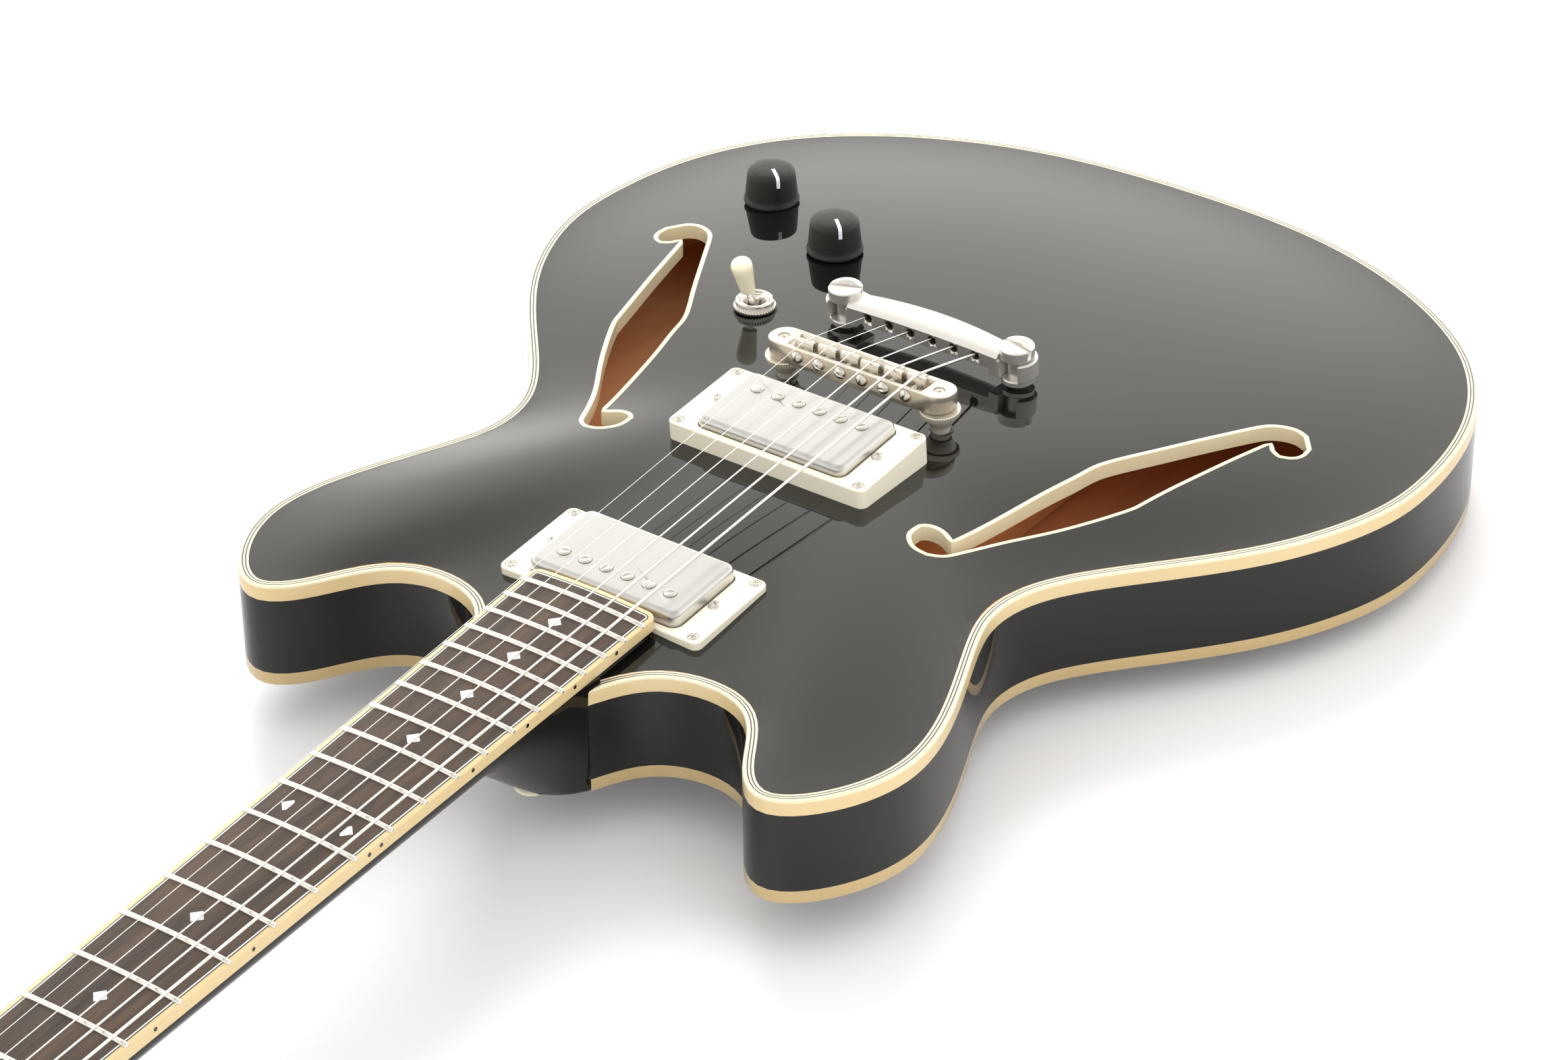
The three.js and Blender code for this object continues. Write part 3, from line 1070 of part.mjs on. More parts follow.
// Every piece with its look
const looks = {
  gloss_black: { color: 0x0a0a0b, roughness: 0.15 },
  cream: { color: 0xe6dcc0, roughness: 0.35 },
  maple: { color: 0xb07a4c, roughness: 0.7 },
  rosewood: { color: 0x3a241a, roughness: 0.6 },
  nickel: { color: 0xc8c2b6, roughness: 0.3, metalness: 1 },
  steel: { color: 0x9c9a96, roughness: 0.4, metalness: 1 },
  black_plastic: { color: 0x141414, roughness: 0.5 },
  cream_plastic: { color: 0xece4d2, roughness: 0.4 },
};
const bassAndTreble = (name, make, look) => [
  [`${name}_bass`, () => make(1), look], [`${name}_treble`, () => make(-1), look],
];
// Strings and their pieces are numbered from the thinnest, as players do
const perString = (name, make, look) => STRING_RADII.map((radius, i) => (
  [`${name}_${i + 1}`, () => make(i), look]
));
const pieces = [
  ["top_plate", topPlate, "gloss_black"],
  ["back_plate", backPlate, "gloss_black"],
  ["rim", rim, "gloss_black"],
  ["center_block", centreBlock, "maple"],
  ["top_binding", () => binding(EDGE_Z - TOP_THICKNESS, EDGE_Z), "cream"],
  ["back_binding", () => binding(BACK_RISE, BACK_RISE + BACK_THICKNESS), "cream"],
  ...bassAndTreble("f_hole_binding", soundHoleBinding, "cream"),
  ["neck", neck, "gloss_black"],
  ["fretboard", fretboard, "rosewood"],
  ["neck_binding", neckBinding, "cream"],
  ["nut", nut, "cream_plastic"],
  ["truss_rod", trussRod, "steel"],
  ["truss_rod_cover", trussRodCover, "black_plastic"],
  ["strap_button_heel", heelButton, "cream_plastic"],
  ["strap_button_tail", tailButton, "cream_plastic"],
  ...bassAndTreble("tuner_plate", tunerPlate, "nickel"),
  ...perString("tuner_key", tunerKey, "nickel"),
  ...perString("tuner_post", tunerPost, "nickel"),
  ...perString("string", string, "steel"),
  ["bridge_body", bridgeBody, "nickel"],
  ...perString("saddle", saddle, "nickel"),
  ...bassAndTreble("bridge_post", bridgePost, "nickel"),
  ["tailpiece", tailpiece, "nickel"],
  ...bassAndTreble("tailpiece_stud", tailpieceStud, "nickel"),
  ["neck_pickup_ring", () => pickupRing(NECK_PICKUP), "cream_plastic"],
  ["bridge_pickup_ring", () => pickupRing(BRIDGE_PICKUP), "cream_plastic"],
  ["neck_pickup", () => pickup(NECK_PICKUP), "nickel"],
  ["bridge_pickup", () => pickup(BRIDGE_PICKUP), "nickel"],
  ["knob_volume", () => knob(VOLUME_PLACE), "black_plastic"],
  ["knob_tone", () => knob(TONE_PLACE), "black_plastic"],
  ["pot_volume", () => pot(VOLUME_PLACE), "steel"],
  ["pot_tone", () => pot(TONE_PLACE), "steel"],
  ["toggle_housing", toggleHousing, "steel"],
  ["toggle_lever", toggleLever, "steel"],
  ["toggle_tip", toggleTip, "cream_plastic"],
  ["output_jack", outputJack, "steel"],
];

const guitar = new THREE.Group();
guitar.name = "semi_hollow_guitar";
pieces.forEach(([name, make, look]) => {
  const mesh = new THREE.Mesh(geometryOf(make()), new THREE.MeshStandardMaterial(looks[look]));
  mesh.name = name;
  guitar.add(mesh);
});

export default guitar;
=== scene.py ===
import math

import bpy
import numpy as np
from mathutils import Matrix, Vector


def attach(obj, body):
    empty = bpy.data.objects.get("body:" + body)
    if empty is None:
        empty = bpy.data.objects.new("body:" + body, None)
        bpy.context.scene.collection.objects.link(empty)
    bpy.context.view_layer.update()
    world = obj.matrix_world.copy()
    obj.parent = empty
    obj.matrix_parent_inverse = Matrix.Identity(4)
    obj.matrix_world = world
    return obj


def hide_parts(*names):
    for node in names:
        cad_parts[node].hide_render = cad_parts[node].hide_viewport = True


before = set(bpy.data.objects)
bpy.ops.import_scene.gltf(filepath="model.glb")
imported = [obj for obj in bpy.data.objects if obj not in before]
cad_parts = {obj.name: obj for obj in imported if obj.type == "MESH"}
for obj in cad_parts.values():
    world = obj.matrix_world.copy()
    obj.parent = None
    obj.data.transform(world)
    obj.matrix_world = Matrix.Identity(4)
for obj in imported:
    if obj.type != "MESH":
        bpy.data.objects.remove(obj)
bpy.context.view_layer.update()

# --- Sides ---
# The body's side is thin plywood, bent to the outline and glued to solid strips at its upper and
# lower edges. It is lacquered black outside and left bare inside. All sizes here are millimetres.
MM = 0.001
EVEN_POINTS, GATE_POINTS = 336, 10  # round the body, and across the neck's joint
BODY_HALF_WIDTH, BODY_LENGTH, HORN_Y = 203, 469, -225.5
half_outline = [
    (0.14, 0.035), (0.2, 0.077), (0.305, 0.0935), (0.413, 0.0765), (0.505, 0.0195), (0.581, 0),
    (0.67, 0.028), (0.7305, 0.097), (0.69, 0.184), (0.611, 0.265), (0.585, 0.31), (0.613, 0.361),
    (0.744, 0.435), (0.897, 0.5205), (0.985, 0.609), (1, 0.677), (0.9655, 0.771), (0.8375, 0.871),
    (0.591, 0.95), (0.305, 0.9905), (0, 1),
]
EDGE_Z, BACK_RISE = 53, 9
TOP_THICKNESS, BACK_THICKNESS = 6.2, 5.5
SIDE_THICKNESS, LINING_WIDTH, LINING_HEIGHT = 2.8, 9, 9
SIDE_TOP, SIDE_BOTTOM = EDGE_Z - TOP_THICKNESS, BACK_RISE + BACK_THICKNESS
SMOOTH_ANGLE = math.radians(38)


def smooth_curve(points, count):
    """Evenly spaced points on the curve of steady bend through the given points."""
    p = np.array(points, float)
    t = np.r_[0, np.cumsum(np.linalg.norm(np.diff(p, axis=0), axis=1) ** 0.5)]
    h = np.diff(t)
    bends, pull = np.eye(len(p)), np.zeros(p.shape)
    for i in range(1, len(p) - 1):
        bends[i, i - 1:i + 2] = h[i - 1], 2 * (h[i - 1] + h[i]), h[i]
        pull[i] = 6 * ((p[i + 1] - p[i]) / h[i] - (p[i] - p[i - 1]) / h[i - 1])
    m = np.linalg.solve(bends, pull)
    s = np.linspace(0, t[-1], count * 8)
    i = np.clip(np.searchsorted(t, s, "right") - 1, 0, len(h) - 1)
    u, v, g = (s - t[i])[:, None], (t[i + 1] - s)[:, None], h[i][:, None]
    fine = (m[i] * v ** 3 + m[i + 1] * u ** 3) / (6 * g) + (p[i] / g - m[i] * g / 6) * v \
        + (p[i + 1] / g - m[i + 1] * g / 6) * u
    run = np.r_[0, np.cumsum(np.linalg.norm(np.diff(fine, axis=0), axis=1))]
    even = np.linspace(0, run[-1], count)
    return np.stack([np.interp(even, run, fine[:, k]) for k in range(p.shape[1])], 1)


def outward(loop):
    """The direction out of a loop that runs anticlockwise, at each of its points."""
    way = np.roll(loop, -1, 0) - np.roll(loop, 1, 0)
    way /= np.linalg.norm(way, axis=1)[:, None]
    return np.stack([way[:, 1], -way[:, 0]], 1)


def at_height(loop, z):
    return np.c_[loop, np.full(len(loop), float(z))]


def skin(name, rings, cyclic=False, place=Matrix()):
    """A skin over rings of equal count, closed round each ring, and at both ends or end to end."""
    rings = [np.asarray(ring, float) for ring in rings]
    if cyclic:
        rings.append(rings[0])
    else:
        first, last = (np.tile(ring.mean(0), (len(ring), 1)) for ring in (rings[0], rings[-1]))
        rings = [first, *rings, last]
    bpy.ops.object.select_all(action="DESELECT")
    bpy.ops.mesh.primitive_grid_add(x_subdivisions=len(rings[0]), y_subdivisions=len(rings) - 1)
    piece = bpy.context.object
    piece.name = piece.data.name = name
    places = np.array([np.r_[ring, ring[:1]] for ring in rings]) * MM
    piece.data.vertices.foreach_set("co", places.ravel())
    piece.data.transform(place)
    return welded(piece)


def welded(piece):
    """The piece with its doubles merged and its faces turned outwards."""
    bpy.ops.object.mode_set(mode="EDIT")
    bpy.ops.mesh.select_all(action="SELECT")
    bpy.ops.mesh.remove_doubles(threshold=0.002 * MM)
    bpy.ops.mesh.dissolve_degenerate(threshold=0.001 * MM)
    bpy.ops.mesh.normals_make_consistent(inside=False)
    bpy.ops.object.mode_set(mode="OBJECT")
    bpy.ops.object.shade_smooth_by_angle(angle=SMOOTH_ANGLE)
    return piece


def painted(piece, *finishes, choose=None):
    """The piece with its finishes, of which choose picks one by number for each face."""
    piece.data.materials.clear()
    for finish in finishes:
        piece.data.materials.append(finish.material)
    for face in piece.data.polygons:
        face.material_index = int(choose(face)) if choose else 0
    return piece


def fit(piece, body, slot, *nodes):
    """Hand a finished piece to its body and hide the model's pieces that it stands for; slot is not used."""
    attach(piece, body)
    if nodes:
        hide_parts(*nodes)
    return piece


class Shade:
    """A socket of a finish, so that its maths can be written as sums."""

    def __init__(self, finish, socket):
        self.finish, self.socket = finish, socket

    def maths(self, operation, *values):
        return self.finish.add("Math", {"operation": operation}, values)

    def __add__(self, other):
        return self.maths("ADD", self, other)

    def __mul__(self, other):
        return self.maths("MULTIPLY", self, other)

    __radd__, __rmul__ = __add__, __mul__


class Finish:
    """A material whose nodes are added one at a time."""

    def __init__(self, name, **fixed):
        self.material = bpy.data.materials.new(name)
        self.material.use_nodes = True
        self.tree = self.material.node_tree
        self.shader = self.tree.nodes["Principled BSDF"]
        for key, value in fixed.items():
            self.feed(key.replace("_", " "), value)

    def add(self, kind, settings, values, output=0):
        node = self.tree.nodes.new("ShaderNode" + kind)
        for key, value in settings.items():
            if key == "stops":
                ramp = node.color_ramp.elements
                while len(ramp) < len(value):
                    ramp.new(0.5)
                for stop, (place, colour) in zip(ramp, value):
                    stop.position, stop.color = place, (*colour, 1)
            else:
                setattr(node, key, value)
        named = values.items() if isinstance(values, dict) else enumerate(values)
        for key, value in named:
            self.join(value, node.inputs[key])
        return Shade(self, node.outputs[output])

    def join(self, value, socket):
        if isinstance(value, Shade):
            self.tree.links.new(value.socket, socket)
        else:
            socket.default_value = value

    def feed(self, key, value):
        if isinstance(value, tuple) and len(value) == 3:
            value = (*value, 1)
        self.join(value, next(s for s in self.shader.inputs if s.name.lower() == key.lower()))

    def grain(self, scale, stretch=(1, 1, 1), detail=3, roughness=0.5):
        """Soft noise over the piece, in features of about 1 / scale metres, between 0 and 1."""
        place = self.add("TexCoord", {}, {}, "Object")
        place = self.add("Mapping", {}, {"Vector": place, "Scale": stretch})
        return self.add("TexNoise", {}, {
            "Vector": place, "Scale": scale, "Detail": detail, "Roughness": roughness,
        })

    def ramp(self, shade, stops):
        return self.add("ValToRGB", {"stops": stops}, [shade])

    def bump(self, shade, depth):
        """Raise the surface by a shade, to a depth in millimetres."""
        self.feed("Normal", self.add("Bump", {}, {"Height": shade, "Distance": depth * MM}))


black_lacquer = Finish(
    "black_lacquer", Base_Color=(0.005, 0.005, 0.0045), Coat_Weight=1.0, Coat_Roughness=0.012,
    Coat_IOR=1.53, Specular_IOR_Level=0.0,
)
black_lacquer.feed("Roughness", black_lacquer.grain(40) * 0.03 + 0.02)
bare_wood = Finish("bare_wood", Specular_IOR_Level=0.3)
bare_wood.feed("Base Color", bare_wood.ramp(
    bare_wood.grain(26, (1, 0.12, 1), 6, 0.6),
    [(0.3, (0.74, 0.36, 0.155)), (0.5, (0.86, 0.46, 0.21)), (0.72, (0.92, 0.55, 0.28))],
))
bare_wood.feed("Roughness", bare_wood.grain(180, (1, 0.1, 1)) * 0.2 + 0.6)
bare_wood.bump(bare_wood.grain(900, (1, 0.05, 1)), 0.05)

corners = [(x * BODY_HALF_WIDTH, HORN_Y + y * BODY_LENGTH) for x, y in half_outline]
corners += [(-x, y) for x, y in reversed(corners[:-1])]
outline = smooth_curve(corners, EVEN_POINTS)
outline = np.r_[outline, np.stack([
    np.linspace(outline[-1][0], outline[0][0], GATE_POINTS + 2)[1:-1], np.full(GATE_POINTS, outline[0][1]),
], 1)]


def inward(distance):
    return outline - outward(outline) * distance


upper_strip, lower_strip = SIDE_TOP - LINING_HEIGHT, SIDE_BOTTOM + LINING_HEIGHT
sides = skin("sides", [at_height(inward(distance), z) for distance, z in (
    (0, SIDE_BOTTOM), (0, SIDE_TOP), (LINING_WIDTH, SIDE_TOP), (LINING_WIDTH, upper_strip),
    (SIDE_THICKNESS, upper_strip), (SIDE_THICKNESS, lower_strip), (LINING_WIDTH, lower_strip),
    (LINING_WIDTH, SIDE_BOTTOM),
)], cyclic=True)
painted(sides, black_lacquer, bare_wood, choose=lambda face: face.index >= len(outline))
fit(sides, "body", "body_lacquer", "rim")

# --- Centre block ---
# A solid maple block runs from the neck to the tail between the plates and carries the bridge,
# the tailpiece and the pickups. It is left bare, and its long sides show through the sound holes.


def dress(finish, *nodes):
    """Give pieces of the model, which keep their shape, a finish."""
    for node in nodes:
        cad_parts[node].data.materials.clear()
        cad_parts[node].data.materials.append(finish.material)


dress(bare_wood, "center_block")

# --- Back ---
# The back is a laminated plate, pressed into a low arch with a flat middle and glued to the
# sides. It is lacquered black outside, and its bare inside is what the sound holes show.
BINDING_WIDTH = 4.2
ARCH_CENTRE = np.array([0, 12.0])
FIELD_STEP, EASING_PASSES = 2.5, 36
plate_edge = inward(BINDING_WIDTH)


class Arch:
    """The height of an arched plate over the body, eased so that its surface has no creases."""

    def __init__(self, height_at, edge):
        self.low = np.array([-BODY_HALF_WIDTH - 10, HORN_Y - 10.0])
        size = np.array([2 * BODY_HALF_WIDTH + 20, BODY_LENGTH + 20.0])
        x, y = (self.low[k] + np.arange(0, size[k], FIELD_STEP) for k in (0, 1))
        share = self.share(np.stack(np.meshgrid(x, y, indexing="ij"), -1))
        z = np.where(share < 1, height_at(np.minimum(share, 1)), edge)
        for _ in range(EASING_PASSES):
            near = (np.roll(z, 1, 0) + np.roll(z, -1, 0) + np.roll(z, 1, 1) + np.roll(z, -1, 1)) / 4
            z = np.where(share < 1, near, edge)
        self.field = np.stack([z, *np.gradient(z, FIELD_STEP)], -1)

    @staticmethod
    def share(places):
        spokes = plate_edge - ARCH_CENTRE
        out = places - ARCH_CENTRE
        reach = np.interp(
            np.arctan2(out[..., 1], out[..., 0]), np.arctan2(spokes[:, 1], spokes[:, 0]),
            np.linalg.norm(spokes, axis=1), period=2 * math.pi,
        )
        return np.linalg.norm(out, axis=-1) / reach

    def look(self, places):
        spot = (np.asarray(places, float)[..., :2] - self.low) / FIELD_STEP
        i = np.floor(spot).astype(int)
        u, v = (spot - i)[..., :1], (spot - i)[..., 1:]
        f, (i, j) = self.field, (i[..., 0], i[..., 1])
        return (f[i, j] * (1 - u) + f[i + 1, j] * u) * (1 - v) \
            + (f[i, j + 1] * (1 - u) + f[i + 1, j + 1] * u) * v

    def height(self, places):
        return self.look(places)[..., 0]

    def normal(self, places, side):
        slopes = self.look(places)
        normal = np.stack([-slopes[..., 1], -slopes[..., 2], np.ones(slopes.shape[:-1])], -1) * side
        return normal / np.linalg.norm(normal, axis=-1)[..., None]

    def ring(self, share, shift=0):
        loop = ARCH_CENTRE + (plate_edge - ARCH_CENTRE) * share
        return np.c_[loop, self.height(loop) + shift]


def arched(piece, arch, side):
    """Give the outer face of a plate the even shading of its arch, up to every cut edge."""
    mesh = piece.data
    places = np.array([mesh.vertices[loop.vertex_index].co for loop in mesh.loops]) / MM
    smooth = arch.normal(places, side)
    normals = np.zeros(places.shape)
    for face in mesh.polygons:
        outside = face.normal.z * side > 0.5 and (
            abs(face.center.z / MM - arch.height(np.array(face.center[:2]) / MM)) < 1)
        for k in face.loop_indices:
            normals[k] = smooth[k] if outside else face.normal
        face.material_index = 0 if outside else 1
    mesh.normals_split_custom_set(normals)


def arch_curve(share):
    return (1 - share ** 3.5) ** 1.5


back_arch = Arch(lambda s: BACK_RISE * (1 - arch_curve(np.maximum(0, (s - 0.3) / 0.7))), BACK_RISE)
out_shares, in_shares = np.linspace(0.03, 1, 26), (1, 0.85, 0.7, 0.5, 0.25, 0.03)
back = skin("back", [back_arch.ring(s) for s in out_shares]
            + [back_arch.ring(s, BACK_THICKNESS) for s in in_shares])
painted(back, black_lacquer, bare_wood)
arched(back, back_arch, -1)
fit(back, "body", "body_lacquer", "back_plate")

# --- Back binding ---
# A cream plastic strip covers the joint of the back and the sides. It is bent round the body,
# glued, scraped flush and lacquered over, which leaves it a little yellow. Its colour is darker
# than the upper binding's: painted shade from the table close under it.


def edging(name, loop, profile, count):
    """A strip along a loop's first points, from a cross-section of (distance inwards, height) pairs."""
    out = outward(loop)
    return skin(name, [np.array([(*(loop[i] - out[i] * d), z) for d, z in profile]) for i in range(count)])


def cream_finish(name, colour, shade):
    cream = Finish(name, Roughness=0.22, Coat_Weight=0.5, Coat_Roughness=0.04)
    cream.feed("Base Color", cream.ramp(cream.grain(14, (1, 1, 1), 4), [(0.3, colour), (0.75, shade)]))
    cream.bump(cream.grain(350, detail=2), 0.006)
    return cream


def plain_finish(name, colour, scale, low, **fixed):
    """One colour, with a roughness that wanders a little above its lowest value."""
    plain = Finish(name, Base_Color=colour, **fixed)
    plain.feed("Roughness", plain.grain(scale) * 0.2 + low)
    return plain


cream_side = cream_finish("binding_side", (0.66, 0.5, 0.255), (0.71, 0.56, 0.31))
# The back binding's colour is painted shade: the same cream plastic as the side binding, darkened.
cream_back_shaded = cream_finish("binding_back", (0.48, 0.345, 0.155), (0.54, 0.405, 0.2))
cream_top = cream_finish("binding_top", (0.74, 0.66, 0.45), (0.78, 0.71, 0.51))
line_black = plain_finish("binding_line", (0.008, 0.008, 0.008), 300, 0.2, Coat_Weight=0.6)
back_binding = edging("back_binding_strip", outline, [
    (0, SIDE_BOTTOM), (0, 9.8), (0.25, 9.25), (0.8, BACK_RISE), (BINDING_WIDTH, BACK_RISE),
    (BINDING_WIDTH, SIDE_BOTTOM),
], EVEN_POINTS)  # it stops at the neck
painted(back_binding, cream_back_shaded)
fit(back_binding, "body", "binding_cream", "back_binding")

# --- Top ---
# The top is a laminated plate, pressed into an arch and glued to the sides and the block. It is
# cut for the neck, the pickups, the controls and the sound holes, and its gloss is a black mirror.
TOP_RISE = 9.5
top_arch = Arch(lambda s: EDGE_Z + TOP_RISE * arch_curve(s), EDGE_Z)
NECK_TILT, STRINGS_OVER_EDGE, HEEL_Y = 0.0765, 25.4, -262
neck_frame = Matrix.Rotation(NECK_TILT, 4, "X")
neck_frame.translation = (0, 0, (EDGE_Z + STRINGS_OVER_EDGE) * MM)
hole_outline = [
    (-0.98, -0.86), (-0.975, -0.82), (-0.92, -0.785), (-0.82, -0.77), (-0.73, -0.78), (-0.65, -0.805),
    (-0.62, -0.72), (-0.52, -0.44), (-0.43, -0.2), (-0.345, -0.01), (-0.29, 0.115), (-0.07, 0.345),
    (0.18, 0.6), (0.375, 0.8), (0.5, 0.915), (0.605, 0.962), (0.75, 0.985), (0.87, 0.965), (0.99, 0.88),
    (1, 0.8), (0.94, 0.74), (0.835, 0.71), (0.735, 0.735), (0.685, 0.775), (0.64, 0.68), (0.565, 0.52),
    (0.485, 0.345), (0.4, 0.165), (0.32, -0.02), (0.285, -0.085), (0.07, -0.32), (-0.13, -0.505),
    (-0.31, -0.665), (-0.485, -0.865), (-0.57, -0.955), (-0.68, -1), (-0.81, -1), (-0.91, -0.965),
    (-0.97, -0.915),
]
HOLE_CENTRE, HOLE_SIZE, CURVE_STEP, SHARP_TURN = (112, 8), (45.5, 81), 1.3, 34
COVER_X, COVER_Y, LEG_X, LEG_Y, PICKUP_ROOM = 34.6, 19, 41, 6, 1.2
NECK_PICKUP_Y, BRIDGE_PICKUP_Y = -147, -43.1
VOLUME, TONE, SWITCH = (-81.7, 96.4), (-133.4, 122.4), (-79.7, 37.8)
STUD_X, TAIL_Y, POST_X = 41.275, 47.3, 37
POST_BORE, STUD_BORE, POT_BORE, SWITCH_BORE, POCKET_HALF, POCKET_END = 4.1, 4.3, 5, 6.1, 27.3, -171.2
THROUGH, FROM_STRINGS = (40, 75), (-50, 5)  # how far cutters reach, in the body's and the neck's heights


def eased(loop):
    """A loop of straight runs with its shallow corners made into curves and its sharp ones kept."""
    loop = np.asarray(loop, float)
    way = np.roll(loop, -1, 0) - loop
    heading = np.degrees(np.arctan2(way[:, 1], way[:, 0]))
    turn = np.abs((heading - np.roll(heading, 1) + 180) % 360 - 180)
    hard = np.flatnonzero(turn > SHARP_TURN)
    parts = []
    for start, stop in zip(hard, np.r_[hard[1:], hard[0] + len(loop)]):
        run = loop[np.arange(start, stop + 1) % len(loop)]
        length = np.linalg.norm(np.diff(run, axis=0), axis=1).sum()
        parts.append(smooth_curve(run, max(2, int(length / CURVE_STEP) + 1))[:-1])
    return np.concatenate(parts)


def hole_loop(side):
    loop = [(side * (HOLE_CENTRE[0] + x * HOLE_SIZE[0]), HOLE_CENTRE[1] + y * HOLE_SIZE[1])
            for x, y in hole_outline]
    return eased(loop[::-1] if side > 0 else loop)


def plank(name, loop, low, high, edge=0, place=Matrix()):
    """A board over an outline, with its upper edge rounded."""
    bpy.ops.object.select_all(action="DESELECT")
    bpy.ops.mesh.primitive_circle_add(vertices=len(loop), fill_type="NGON")
    piece = bpy.context.object
    piece.name = piece.data.name = name
    for vertex, (x, y) in zip(piece.data.vertices, loop):
        vertex.co = Vector((x, y, low)) * MM
    bpy.ops.object.mode_set(mode="EDIT")
    bpy.ops.mesh.select_all(action="SELECT")
    bpy.ops.mesh.extrude_region_move(TRANSFORM_OT_translate={"value": (0, 0, (high - low) * MM)})
    if edge:
        bpy.ops.mesh.region_to_loop()
        bpy.ops.mesh.bevel(offset=edge * MM, segments=3, affect="EDGES")
    bpy.ops.object.mode_set(mode="OBJECT")
    piece.data.transform(place)
    return welded(piece)


def rounded(half_x, half_y, corner, steps=6, centre=(0, 0)):
    turns = np.linspace(0, math.pi / 2, steps)
    points = []
    for quarter, (sx, sy) in enumerate(((1, 1), (-1, 1), (-1, -1), (1, -1))):
        for turn in turns + quarter * math.pi / 2:
            points.append((centre[0] + sx * (half_x - corner) + corner * math.cos(turn),
                           centre[1] + sy * (half_y - corner) + corner * math.sin(turn)))
    return np.array(points)


def joined(name, pieces):
    bpy.ops.object.select_all(action="DESELECT")
    for piece in pieces:
        piece.select_set(True)
    bpy.context.view_layer.objects.active = pieces[0]
    bpy.ops.object.join()
    pieces[0].name = pieces[0].data.name = name
    return pieces[0]


def carve(piece, *cutters):
    """Cut pieces that don't touch each other out of a piece."""
    cutter = joined("cutter", list(cutters))
    bpy.context.view_layer.objects.active = piece
    cut = piece.modifiers.new("cut", "BOOLEAN")
    cut.object, cut.operation, cut.solver = cutter, "DIFFERENCE", "EXACT"
    bpy.ops.object.modifier_apply(modifier=cut.name)
    bpy.data.objects.remove(cutter)
    return piece


def circle(radius, centre=(0, 0), count=24):
    turns = np.linspace(0, 2 * math.pi, count, endpoint=False)
    return np.stack([centre[0] + radius * np.cos(turns), centre[1] + radius * np.sin(turns)], 1)


def cavity(y):
    """The outline of the opening under a pickup, with room round its cover and its legs."""
    cover = COVER_X + PICKUP_ROOM, COVER_Y + PICKUP_ROOM
    lug = LEG_X + PICKUP_ROOM, LEG_Y + PICKUP_ROOM
    corners = [(cover[0], -cover[1]), (cover[0], -lug[1]), (lug[0], -lug[1]), (lug[0], lug[1]),
               (cover[0], lug[1]), (cover[0], cover[1])]
    corners += [(-a, -b) for a, b in corners]
    return [(a, y + b) for a, b in corners]


top = skin("top", [top_arch.ring(s) for s in out_shares]
           + [top_arch.ring(s, -TOP_THICKNESS) for s in in_shares])
carve(
    top, *(plank("hole", hole_loop(side), *THROUGH) for side in (1, -1)),
    plank("pocket", [(-POCKET_HALF, HEEL_Y), (POCKET_HALF, HEEL_Y), (POCKET_HALF, POCKET_END),
                     (-POCKET_HALF, POCKET_END)], *FROM_STRINGS, place=neck_frame),
    *(plank("cavity", cavity(y), *FROM_STRINGS, place=neck_frame) for y in (NECK_PICKUP_Y, BRIDGE_PICKUP_Y)),
    *(plank("bore", circle(radius, (side * x, y)), *FROM_STRINGS, place=neck_frame)
      for side in (1, -1) for x, y, radius in ((POST_X, 0, POST_BORE), (STUD_X, TAIL_Y, STUD_BORE))),
    *(plank("bore", circle(radius, place), *THROUGH)
      for place, radius in ((VOLUME, POT_BORE), (TONE, POT_BORE), (SWITCH, SWITCH_BORE))),
)
painted(top, black_lacquer, bare_wood)
arched(top, top_arch, 1)
fit(top, "body", "body_lacquer", "top_plate")

# --- Top binding ---
# The upper edge has a deeper cream strip with two black and two cream lines beside it, all glued
# in one channel and scraped flush with the top.
top_binding = edging("top_binding_strip", outline, [
    (0, SIDE_TOP), (0, 52.1), (0.25, 52.7), (0.85, EDGE_Z), (1.6, EDGE_Z), (2.1, EDGE_Z), (2.8, EDGE_Z),
    (3.3, EDGE_Z), (BINDING_WIDTH, EDGE_Z), (BINDING_WIDTH, SIDE_TOP),
], EVEN_POINTS)
# The wide strip's top face gets the lighter cream of the thin lines as a painted highlight; it is the same
# plastic as its yellower side.
finish_of_face = (0, 1, 1, 1, 2, 1, 2, 1, 1, 0)
painted(top_binding, cream_side, cream_top, line_black,
        choose=lambda face: finish_of_face[face.index % len(finish_of_face)])
fit(top_binding, "body", "binding_cream", "top_binding")

# --- Sound hole bindings ---
# Each sound hole is lined with one thin strip of the same cream plastic, as deep as the top. It
# is bent to the hole's outline and glued in.
HOLE_BINDING = 1.9
HALVES = ((1, "bass"), (-1, "treble"))
for side, name in HALVES:
    loop = hole_loop(side)
    height, out = top_arch.height(loop), outward(loop)
    strip = skin("sound_hole_binding_" + name, [np.c_[loop - out * inset, height + rise] for inset, rise in (
        (0, -TOP_THICKNESS), (0, 0), (0.2, 0.12), (HOLE_BINDING - 0.3, 0.12), (HOLE_BINDING, -0.15),
        (HOLE_BINDING, -TOP_THICKNESS),
    )], cyclic=True)
    painted(strip, cream_top)
    fit(strip, "body", "binding_cream", "f_hole_binding_" + name)

# --- Neck ---
# The mahogany neck is carved to a rounded back that deepens into the heel, glued into the body,
# and capped by a headstock that leans back. All of it is lacquered black like the body.
SCALE_LENGTH, NUT_LENGTH, NUT_HALF, BOARD_SPREAD, BOARD_END = 628.65, 5, 20.9, 7.7, -168
NUT_Y = -SCALE_LENGTH - NUT_LENGTH
NECK_TOP, NECK_DEPTH, NECK_GROWTH, UNDER_BOARD, NECK_POINTS = -6.9, 14, 2, 0.9, 41
HEEL_LENGTH, HEEL_FALL, HEEL_START, HEEL_EASE, HEEL_SPREAD, HEEL_CAP = 50, 25.8, 0.13, 0.1, 9, 7.2
TONGUE_HALF, TONGUE_FROM, TONGUE_TO, TONGUE_LOW = 26.9, -216, -171.5, -24
HEAD_STEP, HEAD_TILT, HEAD_THICKNESS, HEAD_ROOT, POST_HOLE = 5.6, 0.245, 14.5, 36, 3.3
